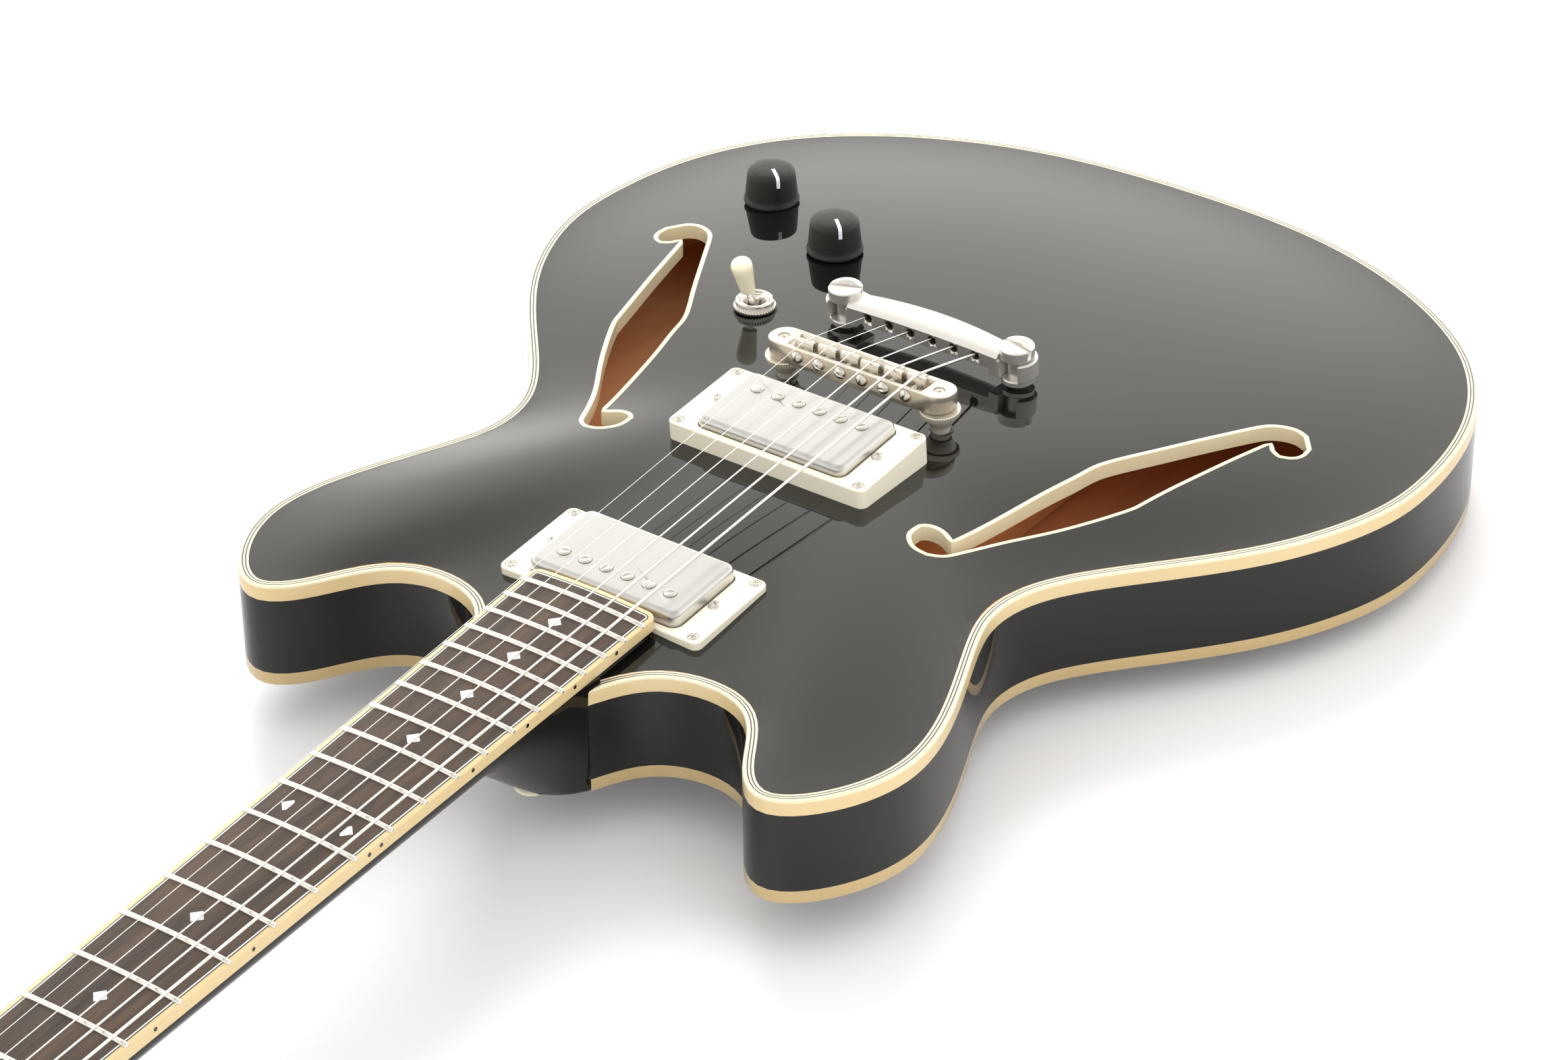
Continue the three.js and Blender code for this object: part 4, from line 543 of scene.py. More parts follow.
head_frame = neck_frame @ Matrix.Translation((0, NUT_Y * MM, -HEAD_STEP * MM)) \
    @ Matrix.Rotation(HEAD_TILT, 4, "X")
head_half = [(20.6, 0), (22.4, -17.6), (32.8, -38.7), (38, -88), (40, -151.4), (34.4, -169.8),
             (20, -176), (0, -173.4)]
tuner_places = [(side * spread, y) for side, row in ((-1, 1), (1, -1))
                for spread, y in [(24.5, -44), (26.5, -84), (28.5, -124)][::row]]


def placed(piece, place):
    piece.data.transform(place)
    return piece


def softened(piece, width, angle=40, segments=3):
    """Round the edges of a piece that are sharper than an angle in degrees."""
    bpy.context.view_layer.objects.active = piece
    soft = piece.modifiers.new("edge", "BEVEL")
    soft.width, soft.segments = width * MM, segments
    soft.limit_method, soft.angle_limit = "ANGLE", math.radians(angle)
    bpy.ops.object.modifier_apply(modifier=soft.name)
    return welded(piece)


def board_half(y):
    return NUT_HALF + BOARD_SPREAD * (y + SCALE_LENGTH) / (SCALE_LENGTH + BOARD_END)


def neck_section(y, top, half, depth, fullness=0.97):
    """One section of the neck; a lower fullness makes its back squarer."""
    turn = np.linspace(0, math.pi, NECK_POINTS)
    wide, deep = np.cos(turn), np.sin(turn).clip(0)
    across = half * np.sign(wide) * np.abs(wide) ** fullness
    return np.stack([across, np.full(NECK_POINTS, y), top - depth * deep ** fullness], 1)


def neck_depth(y):
    return NECK_DEPTH + NECK_GROWTH * (y - NUT_Y) / (HEEL_Y - NUT_Y)


def neck_half(y):
    return board_half(y) - UNDER_BOARD


shaft = []
for way in np.linspace(1, 0, 9):
    fall, blend = HEAD_ROOT * way * math.tan(HEAD_TILT), way * way * (3 - 2 * way)
    under = (1 - blend) * (NECK_TOP - NECK_DEPTH) + blend * (-HEAD_STEP - fall - HEAD_THICKNESS + 1.2)
    roof = NECK_TOP if way == 0 else -HEAD_STEP - fall - 2.5
    shaft.append(neck_section(NUT_Y - HEAD_ROOT * way, roof, neck_half(NUT_Y) - 2 * way, roof - under))
shaft += [neck_section(y, NECK_TOP, neck_half(y), neck_depth(y)) for y in np.linspace(NUT_Y + 30, HEEL_Y, 8)]
for way in np.linspace(0.06, 1.24, 18):
    y, near, past = HEEL_Y + HEEL_LENGTH * way, max(0, way - 0.75), way - HEEL_START
    depth = neck_depth(y) + HEEL_FALL * (past + math.hypot(past, HEEL_EASE))
    fullness = max(0.25, 0.97 - 0.42 * way - 0.6 * near)
    shaft.append(neck_section(y, NECK_TOP, neck_half(y) + HEEL_SPREAD * near ** 1.4, depth, fullness))
neck = placed(skin("neck_shaft", shaft), neck_frame)
bpy.ops.object.mode_set(mode="EDIT")
inside_rim, heel_cap = (0, (outline[0][1] + 6) * MM, 0), (0, 0, HEEL_CAP * MM)
for cut_place, cut_normal in ((inside_rim, (0, 1, 0)), (heel_cap, (0, 0, -1))):
    bpy.ops.mesh.select_all(action="SELECT")
    bpy.ops.mesh.bisect(plane_co=cut_place, plane_no=cut_normal, use_fill=True, clear_outer=True)
bpy.ops.mesh.bevel(offset=1.2 * MM, segments=3, affect="EDGES")
bpy.ops.object.mode_set(mode="OBJECT")
welded(neck)
painted(neck, black_lacquer)
fit(neck, "body", "neck_lacquer", "neck")

tongue = plank("neck_tongue", [
    (TONGUE_HALF, TONGUE_FROM), (TONGUE_HALF, TONGUE_TO),
    (-TONGUE_HALF, TONGUE_TO), (-TONGUE_HALF, TONGUE_FROM),
], TONGUE_LOW, NECK_TOP, 0.5, neck_frame)
painted(tongue, black_lacquer)
fit(tongue, "body", "neck_lacquer")

head_corners = head_half + [(-x, y) for x, y in reversed(head_half[:-1])]
head = plank("headstock", smooth_curve(head_corners, 150)[::-1], -HEAD_THICKNESS, 0)
carve(head, *(plank("bore", circle(POST_HOLE, spot, 16), -20, 5) for spot in tuner_places))
painted(placed(softened(head, 1.1, 60), head_frame), black_lacquer)
fit(head, "body", "neck_lacquer")

# --- Fretboard ---
# A plank of dark rosewood, oiled and not lacquered, with a crowned upper face. Its grain runs
# along it in dark and brown streaks, and short open pores catch the light.
BOARD_TOP, BOARD_RADIUS, BOARD_CORNER, BOARD_BINDING = -1.1, 305, 4, 2.0


def crown(x):
    return BOARD_RADIUS - np.sqrt(BOARD_RADIUS ** 2 - np.asarray(x, float) ** 2)


def fret_y(n):
    return -SCALE_LENGTH * 2 ** (-n / 12)


def board_side(y, inset):
    corner = BOARD_CORNER - inset * 0.75
    into = max(0, y - (BOARD_END - inset - corner))
    return board_half(y) - inset - corner + math.sqrt(max(0, corner ** 2 - into ** 2))


rosewood = Finish("rosewood", Specular_IOR_Level=0.42)
streaks = rosewood.grain(150, (1, 0.035, 1), 5, 0.62)
veins = rosewood.grain(620, (1, 0.02, 1), 4, 0.6)
rosewood.feed("Base Color", rosewood.ramp(streaks * 0.72 + veins * 0.28, [
    (0.34, (0.02, 0.0128, 0.0095)), (0.47, (0.05, 0.031, 0.021)), (0.58, (0.078, 0.047, 0.03)),
    (0.7, (0.118, 0.067, 0.041)),
]))
rosewood.feed("Roughness", veins * 0.25 + 0.36)
pores = rosewood.grain(1400, (1, 0.03, 1), 2)
rosewood.bump(rosewood.ramp(pores, [(0.32, (0, 0, 0)), (0.42, (1, 1, 1))]), 0.06)
wood_end, sections = BOARD_END - BOARD_BINDING, []
last_steps = wood_end - np.array((0.8, 0.55, 0.3, 0.1, 0))
for y in (*np.linspace(-SCALE_LENGTH, wood_end - 1, 30), *last_steps):
    x = np.linspace(1, -1, 13) * board_side(y, BOARD_BINDING)
    upper = np.stack([x, np.full(13, y), BOARD_TOP - crown(x)], 1)
    sections.append(np.r_[upper, [(x[-1], y, NECK_TOP), (x[0], y, NECK_TOP)]])
board = painted(placed(skin("board", sections), neck_frame), rosewood)
fit(board, "body", "board_rosewood", "fretboard")

# --- Board binding ---
# A cream strip runs round the board, with black dots let into its bass side as position marks.
# A black and a white line lie inside it.
start, corner_y = -SCALE_LENGTH + 0.3, BOARD_END - BOARD_CORNER
corner_half = board_half(BOARD_END) - BOARD_CORNER
path = [(board_half(y), y) for y in np.linspace(start, corner_y - 0.5, 24)]
path += [(corner_half + BOARD_CORNER * math.cos(t), corner_y + BOARD_CORNER * math.sin(t))
         for t in np.linspace(0, math.pi / 2, 7)]
path += [(x, BOARD_END) for x in np.linspace(corner_half, -corner_half, 13)[1:-1]]
path += [(-x, y) for x, y in reversed(path[:31])]
strip_points = len(path)
path += [(-board_half(start - 10), start - 10), (board_half(start - 10), start - 10)]
path = np.array(path)


def board_strip(name, profile, finish, *nodes):
    strip = edging(name, path, profile, strip_points)
    for vertex in strip.data.vertices:
        if vertex.co.z > -4 * MM:
            vertex.co.z -= float(crown(vertex.co.x / MM)) * MM
    painted(placed(strip, neck_frame), finish)
    return fit(strip, "body", "black_plastic" if finish is line_black else "binding_cream", *nodes)


line_white = cream_finish("binding_line_white", (0.83, 0.82, 0.74), (0.88, 0.87, 0.8))
board_strip("board_binding", [
    (0, NECK_TOP), (0, BOARD_TOP - 0.55), (0.15, BOARD_TOP - 0.15), (0.5, BOARD_TOP),
    (BOARD_BINDING, BOARD_TOP), (BOARD_BINDING, NECK_TOP),
], cream_side, "neck_binding")
LINE_WIDTH, LINE_TOP, LINE_LOW = 0.5, BOARD_TOP + 0.03, BOARD_TOP - 0.4
for name, finish in (("black", line_black), ("white", line_white), ("inner", line_black)):
    near = BOARD_BINDING + LINE_WIDTH * ("black", "white", "inner").index(name)
    far = near + LINE_WIDTH
    board_strip("board_line_" + name, [
        (near, LINE_LOW), (near, LINE_TOP), (far, LINE_TOP), (far, LINE_LOW),
    ], finish)


def turned(name, profile, place=Matrix(), sides=32):
    """A piece turned round +Z from (radius, height) pairs that start and end on its axis."""
    bpy.ops.object.select_all(action="DESELECT")
    bpy.ops.mesh.primitive_circle_add(vertices=len(profile), fill_type="NOTHING")
    piece = bpy.context.object
    piece.name = piece.data.name = name
    for vertex, (radius, height) in zip(piece.data.vertices, profile):
        vertex.co = radius * MM, 0, height * MM
    bpy.ops.object.mode_set(mode="EDIT")
    bpy.ops.mesh.select_mode(type="EDGE")
    bpy.ops.object.mode_set(mode="OBJECT")
    for edge in piece.data.edges:
        edge.select = set(edge.vertices) == {0, len(profile) - 1}
    bpy.ops.object.mode_set(mode="EDIT")
    bpy.ops.mesh.delete(type="EDGE")
    bpy.ops.mesh.select_mode(type="VERT")
    bpy.ops.mesh.select_all(action="SELECT")
    bpy.ops.mesh.spin(steps=sides, angle=2 * math.pi, center=(0, 0, 0), axis=(0, 0, 1))
    bpy.ops.object.mode_set(mode="OBJECT")
    return placed(welded(piece), place)


def at(x, y, z=0.0):
    return Matrix.Translation((x * MM, y * MM, z * MM))


def group(name, pieces, finish, body, slot):
    """Join like pieces under one name, finish them and hand them over."""
    return fit(painted(joined(name, pieces), finish), body, slot)


def marks(apart):
    """The marked frets, each with its shift; the twelfth has two marks, apart from the middle."""
    return [(n, 0) for n in (3, 5, 7, 9, 15, 17, 19, 21)] + [(12, -apart), (12, apart)]


ALONG_X = Matrix.Rotation(math.pi / 2, 4, "Y")
DOT_RADIUS, DOT_Z = 0.85, -3.9
dots = []
for n, shift in marks(3.1):
    y = (fret_y(n) + fret_y(n - 1)) / 2 + shift
    dots.append(turned("dot", [(0, -0.5), (DOT_RADIUS, -0.5), (DOT_RADIUS, 0.03), (0, 0.06)],
                       neck_frame @ at(board_half(y), y, DOT_Z) @ ALONG_X, 16))
group("side_dots", dots, line_black, "body", "black_plastic")

# --- Position marks ---
# Diamonds of pearl shell are let into the board and sanded to its crown. Each has its own bands
# of white and blue-grey.
pearl = Finish("pearl", Roughness=0.18, Coat_Weight=0.4, Coat_Roughness=0.05)
pearl.feed("Base Color", pearl.ramp(pearl.grain(260, (1, 0.5, 1), 4, 0.6), [
    (0.32, (0.52, 0.55, 0.62)), (0.5, (0.78, 0.8, 0.84)), (0.66, (0.9, 0.88, 0.86)),
]))
DIAMOND_X, DIAMOND_Y = 3.1, 3.2
diamonds = []
for n, shift in marks(13.1):
    y = (fret_y(n) + fret_y(n - 1)) / 2
    diamond = plank("diamond", [
        (shift + DIAMOND_X, y), (shift, y + DIAMOND_Y), (shift - DIAMOND_X, y), (shift, y - DIAMOND_Y),
    ], BOARD_TOP - 0.6, BOARD_TOP + 0.04)
    for vertex in diamond.data.vertices:
        vertex.co.z -= float(crown(shift)) * MM
    diamonds.append(placed(diamond, neck_frame))
group("position_marks", diamonds, pearl, "body", "board_rosewood")

# --- Frets ---
# Each of the 22 frets is a nickel-silver wire with a domed head, bent to the crown, pressed into
# its slot and polished, with its ends filed round over the binding.
FRETS, FRET_HALF_WIDTH, FRET_HEIGHT = 22, 1.15, 1.1


def metal(name, colour, low, high, scale=500, stretch=(1, 1, 1), depth=0.004):
    finish = Finish(name, Base_Color=colour, Metallic=1.0)
    wear = finish.grain(scale, stretch, 4, 0.6)
    finish.feed("Roughness", wear * (high - low) + low)
    finish.bump(wear, depth)
    return finish


fret_metal = metal("fret_metal", (0.86, 0.83, 0.79), 0.14, 0.3)
half_dome = [(1, 0), (0.98, 0.35), (0.82, 0.66), (0.5, 0.9)]
dome = [(-a, b) for a, b in half_dome] + [(0, 1)] + half_dome[::-1]
file_in, file_down = np.array([0, 0.12, 0.4, 0.9]), np.array([0.3, 0.6, 0.85, 0.97])  # the filed ends
swell = np.r_[file_down, np.ones(11), file_down[::-1]]
foot = BOARD_TOP - 0.08
wires = []
for n in range(1, FRETS + 1):
    half = board_half(fret_y(n)) - 0.15
    across = np.r_[file_in - half, np.linspace(2 - half, half - 2, 11), half - file_in[::-1]]
    wires.append(placed(skin("fret", [[
        (x, fret_y(n) + FRET_HALF_WIDTH * a * (0.4 + 0.6 * s), foot - crown(x) + (FRET_HEIGHT + 0.08) * b * s)
        for a, b in dome
    ] for x, s in zip(across, swell)]), neck_frame))
group("frets", wires, fret_metal, "body", "tuner_nickel")

# --- Nut and truss rod ---
# The nut is a slotted bar of cream plastic. The truss rod is a steel bar under the board, and a
# black plate with two screws covers its end on the headstock.
steel = metal("plain_steel", (0.6, 0.58, 0.56), 0.25, 0.45)
nickel = metal("tuner_nickel", (0.77, 0.74, 0.69), 0.1, 0.22)
black_plastic = plain_finish("black_plastic", (0.012, 0.012, 0.013), 400, 0.24)
black_plastic.bump(black_plastic.grain(900, detail=2), 0.01)


def slot_shape(length, width, turn, cross=False):
    """The outline of the slot or the cross in a screw's head."""
    a, b = length / 2, width / 2
    loop = [(a, -b), (a, b), (-a, b), (-a, -b)]
    if cross:
        loop = [(a, -b), (a, b), (b, b), (b, a), (-b, a), (-b, b), (-a, b), (-a, -b), (-b, -b), (-b, -a),
                (b, -a), (b, -b)]
    c, s = math.cos(turn), math.sin(turn)
    return [(x * c - y * s, x * s + y * c) for x, y in loop]


def screw(profile, slot, depth, place=Matrix(), sides=24):
    head = turned("screw", profile, sides=sides)
    top = max(z for _, z in profile)
    return placed(welded(carve(head, plank("slot", slot, top - depth, top + 1))), place)


def small_screw(radius, place, turn=0.3):
    """A round-headed screw with a cross in it."""
    head = [(0, -0.4), (radius, -0.4), (radius, 0.1)]
    head += [(radius * wide, radius * high) for wide, high in ((0.86, 0.26), (0.5, 0.4), (0, 0.44))]
    return screw(head, slot_shape(radius * 1.15, radius * 0.22, turn, cross=True), radius * 0.3, place, 20)


dress(cream_finish("nut_cream", (0.82, 0.76, 0.6), (0.88, 0.83, 0.7)), "nut")
dress(steel, "truss_rod", "pot_volume", "pot_tone")
ROD_COVER_TOP, ROD_SCREWS_Y = 2.3, (-9.5, -35)
cover_half = [(0, -39.2), (4.2, -39), (5.4, -34), (6.3, -24), (8.6, -17.5), (12.6, -12.2), (13, -5.2)]
cover_loop = [(-x, y) for x, y in reversed(cover_half[1:])] + cover_half
rod_cover = plank("rod_cover", cover_loop, 0.3, ROD_COVER_TOP, 0.5, head_frame)
fit(painted(rod_cover, black_plastic), "body", "black_plastic", "truss_rod_cover")
cover_screws = [small_screw(1.7, head_frame @ at(0, y, ROD_COVER_TOP)) for y in ROD_SCREWS_Y]
group("rod_cover_screws", cover_screws, nickel, "body", "tuner_nickel")

# --- Tuners ---
# Each side of the headstock has three tuners on one plate of nickelled steel. A key turns a worm
# under its housing, and the worm turns the gear and the post, which takes the string.
GEAR_Z, WORM_Y, KEY_REACH, PLATE_TOP, PLATE_LOW = -18.5, 6.7, 21, -14.8, -16.2
HOUSING_Y, HOUSING_LOW = 2.35, -24.2
PLATE_X, PLATE_Y, PLATE_LEAN, PLATE_SCREWS_Y = 26.5, -84, 0.05, (-35, -64.5, -104.5, -133)
UPSIDE_DOWN = Matrix.Rotation(math.pi, 4, "X")
quarter = np.linspace(0, math.pi / 2, 5)


def pad(name, half_x, half_y, corner, low, high, edge, under=0.0, place=Matrix()):
    """A block with rounded corners and with its upper, and if asked its lower, edge rounded."""
    levels = [(0, low)]
    if under:
        levels = [(under * (1 - math.sin(t)), low + under * (1 - math.cos(t))) for t in quarter]
    levels += [(edge * (1 - math.cos(t)), high - edge * (1 - math.sin(t))) for t in quarter]
    return skin(name, [
        at_height(rounded(half_x - d, half_y - d, max(corner - d, 0.1), 8), z) for d, z in levels
    ], place=place)


def flattened(piece):
    """Shade a piece so that its flat faces stay flat up to their rounded edges."""
    bpy.context.view_layer.objects.active = piece
    even = piece.modifiers.new("even", "WEIGHTED_NORMAL")
    even.keep_sharp = True
    bpy.ops.object.modifier_apply(modifier=even.name)
    return piece


def hoop(name, profile, place=Matrix(), sides=40):
    """A ring from a closed profile of (radius, height) pairs."""
    rings = [at_height(circle(radius, count=sides), z) for radius, z in profile]
    return skin(name, rings, cyclic=True, place=place)


collars = []
for i, (x, y) in enumerate(tuner_places):
    side, spot = math.copysign(1, x), head_frame @ at(x, y)
    post = turned("post", [
        (0, -20.5), (4.2, -20.5), (4.2, -16.5), (3, -16.5), (3, 5.5), (2.5, 6), (2.5, 11), (3, 11.5),
        (3, 14.3), (2.6, 14.9), (1.6, 15), (0, 14.7),
    ], sides=24)
    carve(post, plank("string_hole", circle(0.75, count=12), -5, 5, place=at(0, 0, 8.6) @ ALONG_X))
    painted(placed(welded(post), spot), nickel)
    post.name = post.data.name = f"post_{i + 1}"
    fit(post, post.name, "tuner_nickel", "tuner_" + post.name)
    worm = turned("worm", [(0, -4.2), (2.2, -4.2)] + [
        (2.2 - 0.35 * (k % 2), -4.1 + 0.35 * k) for k in range(24)
    ] + [(1.6, 4.3), (1.6, 12.6), (2.6, 12.9), (2.6, 14.1), (0, 14.3)], sides=20)
    placed(worm, Matrix.Rotation(side * math.pi / 2, 4, "Y"))
    button = pad("button", 7, 9, 6.4, -3.75, 3.75, 3.3, 3.3, at(side * KEY_REACH, 0))
    key = placed(joined(f"key_{i + 1}", [worm, button]), spot @ at(0, WORM_Y, GEAR_Z))
    fit(painted(key, nickel), key.name, "tuner_nickel", "tuner_" + key.name)
    collars.append(hoop("collar", [
        (3.15, 0), (5.2, 0), (5.2, 0.7), (4.7, 1.3), (3.4, 1.5), (3.15, 1.3),
    ], spot))
group("tuner_collars", collars, nickel, "body", "tuner_nickel")
for side, name in HALVES:
    spots = [(x, y) for x, y in tuner_places if x * side > 0]
    loop = [(side * (PLATE_X + x - PLATE_LEAN * y), PLATE_Y + y) for x, y in rounded(7.5, 52, 3)]
    strip = plank("tuner_plate", loop[::side], PLATE_LOW, PLATE_TOP)
    carve(strip, *(plank("bore", circle(4.5, spot), -20, -10) for spot in spots))
    pieces = [welded(strip)]
    for x, y in spots:
        housing = pad("housing", 5.8, 8.1, 2.6, HOUSING_LOW, PLATE_LOW, 0.1, 2.2, at(x, y + HOUSING_Y))
        hollow = pad("hollow", 4.6, 6.9, 1.8, HOUSING_LOW + 1.2, PLATE_TOP, 0.1, 0.8, at(x, y + HOUSING_Y))
        pieces.append(welded(carve(housing, hollow)))
        key_side = at(x + side * 5.7, y + WORM_Y, GEAR_Z) @ Matrix.Rotation(side * math.pi / 2, 4, "Y")
        pieces.append(hoop("key_collar", [
            (1.75, 0), (3, 0), (3, 1.2), (2.7, 1.6), (1.75, 1.6),
        ], key_side, 24))
    for y in PLATE_SCREWS_Y:
        x = side * (PLATE_X - PLATE_LEAN * (y - PLATE_Y))
        pieces.append(small_screw(1.9, at(x, y, PLATE_LOW) @ UPSIDE_DOWN, y))
    plate = placed(joined("plate_" + name, pieces), head_frame)
    fit(painted(plate, nickel), "body", "tuner_nickel", "tuner_" + plate.name)

# --- Strap buttons ---
# Two turned buttons of cream plastic, a short one on the heel's cap and one at the tail, each held
# by a screw with a cross.
button_cream = cream_finish("button_cream", (0.86, 0.78, 0.58), (0.9, 0.83, 0.66))
SIDE_MIDDLE = (SIDE_TOP + SIDE_BOTTOM) / 2
ALONG_Y = Matrix.Rotation(-math.pi / 2, 4, "X")
button_foot = [(0, 0), (5.6, 0), (6, 0.5), (6, 1.6), (5, 2.6), (3.9, 4)]
button_flange = [  # radius, and depth under the face
    (3.8, 5), (5, 3.4), (6.9, 2.5), (7.5, 1.8), (7.5, 1.1), (6.9, 0.4), (5.8, 0), (3.4, 0), (3.2, 0.6),
    (0, 0.6),
]
for name, stand, wide, place in (
        ("tail", 13, 1, at(0, HORN_Y + BODY_LENGTH + 0.5, SIDE_MIDDLE) @ ALONG_Y),
        ("heel", 9, 0.88, at(1.8, -211, BACK_RISE + 1) @ UPSIDE_DOWN)):
    profile = button_foot + [(radius, stand - depth) for radius, depth in button_flange]
    button = turned("button_" + name, [(radius * wide, z) for radius, z in profile], place, 48)
    fit(painted(flattened(button), button_cream), "body", "cream_plastic", "strap_" + button.name)
    button_screw = small_screw(2.9, place @ at(0, 0, stand - 0.8))
    button_screw.name = "button_screw_" + name
    fit(painted(button_screw, nickel), "body", "tuner_nickel")

# --- Pickup rings ---
# Each pickup hangs in a cream plastic frame whose underside follows the arched top. Four small
# screws hold the frame down, and one round-headed screw at each end carries the pickup.
RING_X, RING_Y, RING_CORNER, RING_EDGE = 46.4, 22.3, 3.2, 1.0
RING_SCREW_X, RING_SCREW_Y, HEIGHT_SCREW_X = 42.4, 19.1, 38
PICKUPS = (  # name, place, tops of the ring and the cover, side of the pole screws
    ("neck", NECK_PICKUP_Y, -7.6, -1.7, -1), ("bridge", BRIDGE_PICKUP_Y, -3.1, 1.0, 1),
)


def with_runs(loop):
    """The loop with each of its long straight sides in nine parts."""
    points = []
    for a, b in zip(loop, np.roll(loop, -1, 0)):
        count = 9 if np.linalg.norm(b - a) > 12 else 1
        points += [a + (b - a) * k / count for k in range(count)]
    return np.array(points)


def on_top(loop):
    """Where the top lies under or over places given on the strings' plane."""
    level = np.full(len(loop), -16.0)
    for _ in range(4):
        body = np.array([(neck_frame @ (Vector((x, y, z)) * MM)) / MM for (x, y), z in zip(loop, level)])
        level = level + top_arch.height(body) - body[:, 2]
    return np.c_[loop, level]


cream_ring = cream_finish("ring_cream", (0.98, 0.91, 0.73), (0.99, 0.94, 0.79))
screw_nickel = metal("screw_nickel", (0.74, 0.71, 0.66), 0.16, 0.32)
for name, y, ring_top, cover_top, pole_side in PICKUPS:
    def ring_loop(half_x, half_y, corner):
        return with_runs(rounded(half_x, half_y, corner, 8, (0, y)))

    inner = ring_loop(COVER_X + 0.35, COVER_Y + 0.35, 4)
    mouth = ring_loop(COVER_X + 0.6, COVER_Y + 0.6, 4.2)
    rings = [on_top(inner), on_top(ring_loop(RING_X, RING_Y, RING_CORNER))]
    for t in quarter:
        inset, drop = RING_EDGE * (1 - math.cos(t)), RING_EDGE * (1 - math.sin(t))
        loop = ring_loop(RING_X - inset, RING_Y - inset, RING_CORNER - inset)
        rings.append(at_height(loop, ring_top - drop))
    rings += [at_height(mouth, ring_top), at_height(inner, ring_top - 0.3)]
    ring = skin(name + "_ring", rings, cyclic=True, place=neck_frame)
    signs = [(sx, sy) for sx in (1, -1) for sy in (1, -1)]
    spots = [(sx * RING_SCREW_X, y + sy * RING_SCREW_Y) for sx, sy in signs]
    carve(ring, *(plank("pit", circle(2.45, spot, 20), ring_top - 0.7, ring_top + 1, place=neck_frame)
                  for spot in spots))
    painted(flattened(welded(ring)), cream_ring)
    fit(ring, "body", "cream_plastic", name + "_pickup_ring")
    screws = [small_screw(2.2, neck_frame @ at(*spot, ring_top - 0.6), 0.5 * sx + sy + y)
              for spot, (sx, sy) in zip(spots, signs)]
    for sx in (1, -1):
        screws.append(small_screw(2.6, neck_frame @ at(sx * HEIGHT_SCREW_X, y, ring_top + 0.15), 0.9 * sx))
    for sx in (1, -1):
        spot = neck_frame @ at(sx * HEIGHT_SCREW_X, y, ring_top)
        screws.append(turned("shaft", [(0, -26), (1.4, -26), (1.4, 0), (0, 0)], spot, 12))
    group(name + "_ring_screws", screws, screw_nickel, "body", "tuner_nickel")

# --- Pickups ---
# A pressed cover of satin nickel hides each pickup. Six slotted pole screws stand in holes of the
# cover, each turned its own way, and a brass leg at each end takes the height screw.
cover_nickel = metal("cover_nickel", (0.585, 0.578, 0.57), 0.24, 0.44, 130, (1, 0.05, 1), 0.006)
brass = metal("leg_brass", (0.62, 0.5, 0.3), 0.3, 0.45)
POLE_PITCH, POLE_FROM_MIDDLE, POLE_HOLE, COVER_DEPTH, LEG_THICKNESS = 9.87, 8.6, 2.75, 17, 2
pole_turns = {"neck": (0.4, 0.75, 1.2, 0.9, 1.6, 0.55), "bridge": (2.9, 3.3, 0.5, 1.05, 1.2, 0.75)}
for name, y, ring_top, cover_top, pole_side in PICKUPS:
    poles = [((i - 2.5) * POLE_PITCH, y + pole_side * POLE_FROM_MIDDLE) for i in range(6)]
    low = cover_top - COVER_DEPTH
    cover = pad(name + "_cover", COVER_X, COVER_Y, 3.8, low, cover_top, 2.3, place=at(0, y))
    carve(cover, *(plank("hole", circle(POLE_HOLE, spot), cover_top - 1.2, cover_top + 1) for spot in poles))
    painted(flattened(placed(welded(cover), neck_frame)), cover_nickel)
    fit(cover, name + "_pickup", "cover_nickel", name + "_pickup")
    legs = plank("legs", rounded(LEG_X, LEG_Y, 2, centre=(0, y)), low, low + LEG_THICKNESS)
    bores = [plank("bore", circle(1.7, (sx * HEIGHT_SCREW_X, y), 16), low - 1, low + LEG_THICKNESS + 1)
             for sx in (1, -1)]
    legs = placed(welded(carve(legs, *bores)), neck_frame)
    legs.name = name + "_pickup_legs"
    fit(painted(legs, brass), name + "_pickup", "cover_nickel")
    heads = [screw([(0, -1), (2.5, -1), (2.5, 0.3), (2.3, 0.55), (1.7, 0.7), (0, 0.75)],
                   slot_shape(7, 0.65, turn), 0.6, neck_frame @ at(px, py, cover_top))
             for (px, py), turn in zip(poles, pole_turns[name])]
    group(name + "_pole_screws", heads, screw_nickel, name + "_pickup", "tuner_nickel")

# --- Bridge ---
# The bridge is one cast and plated body with round ends and a window for six saddles. It sits on
# two threaded posts, and each post has a knurled wheel to set its height.
ACROSS = Matrix(((0, 0, 1, 0), (1, 0, 0, 0), (0, 1, 0, 0), (0, 0, 0, 1)))  # Y and Z, drawn along X
FORWARD = Matrix.Rotation(math.pi / 2, 4, "X")  # turns +Z towards the headstock
BRIDGE_FRONT, BRIDGE_REAR, BRIDGE_LOW, DECK, DECK_DROP = -6.9, 8, -5.6, 3.3, 1.9
SADDLE_SCREW_Z, SADDLE_HALF, STRING_PITCH = -0.2, 4.3, 10.3
LANES = [(i - 2.5) * STRING_PITCH for i in range(6)]  # the strings' places at the bridge
screw_seats = [at(x, BRIDGE_FRONT, SADDLE_SCREW_Z) @ FORWARD for x in LANES]
bridge_nickel = metal("bridge_nickel", (0.8, 0.735, 0.635), 0.28, 0.42, 90, (1, 1, 1), 0.004)
bridge_nickel.feed("Metallic", 0.85)
bar = placed(plank("bridge_casting", [
    (BRIDGE_FRONT, BRIDGE_LOW), (BRIDGE_REAR, BRIDGE_LOW),
    (BRIDGE_REAR, DECK - DECK_DROP), (BRIDGE_FRONT, DECK),
], -50, 50), ACROSS)
ends = plank("fence", rounded(43, 7.45, 6.7, 12, (0, 0.55)), -20, 20)  # nothing is kept outside it
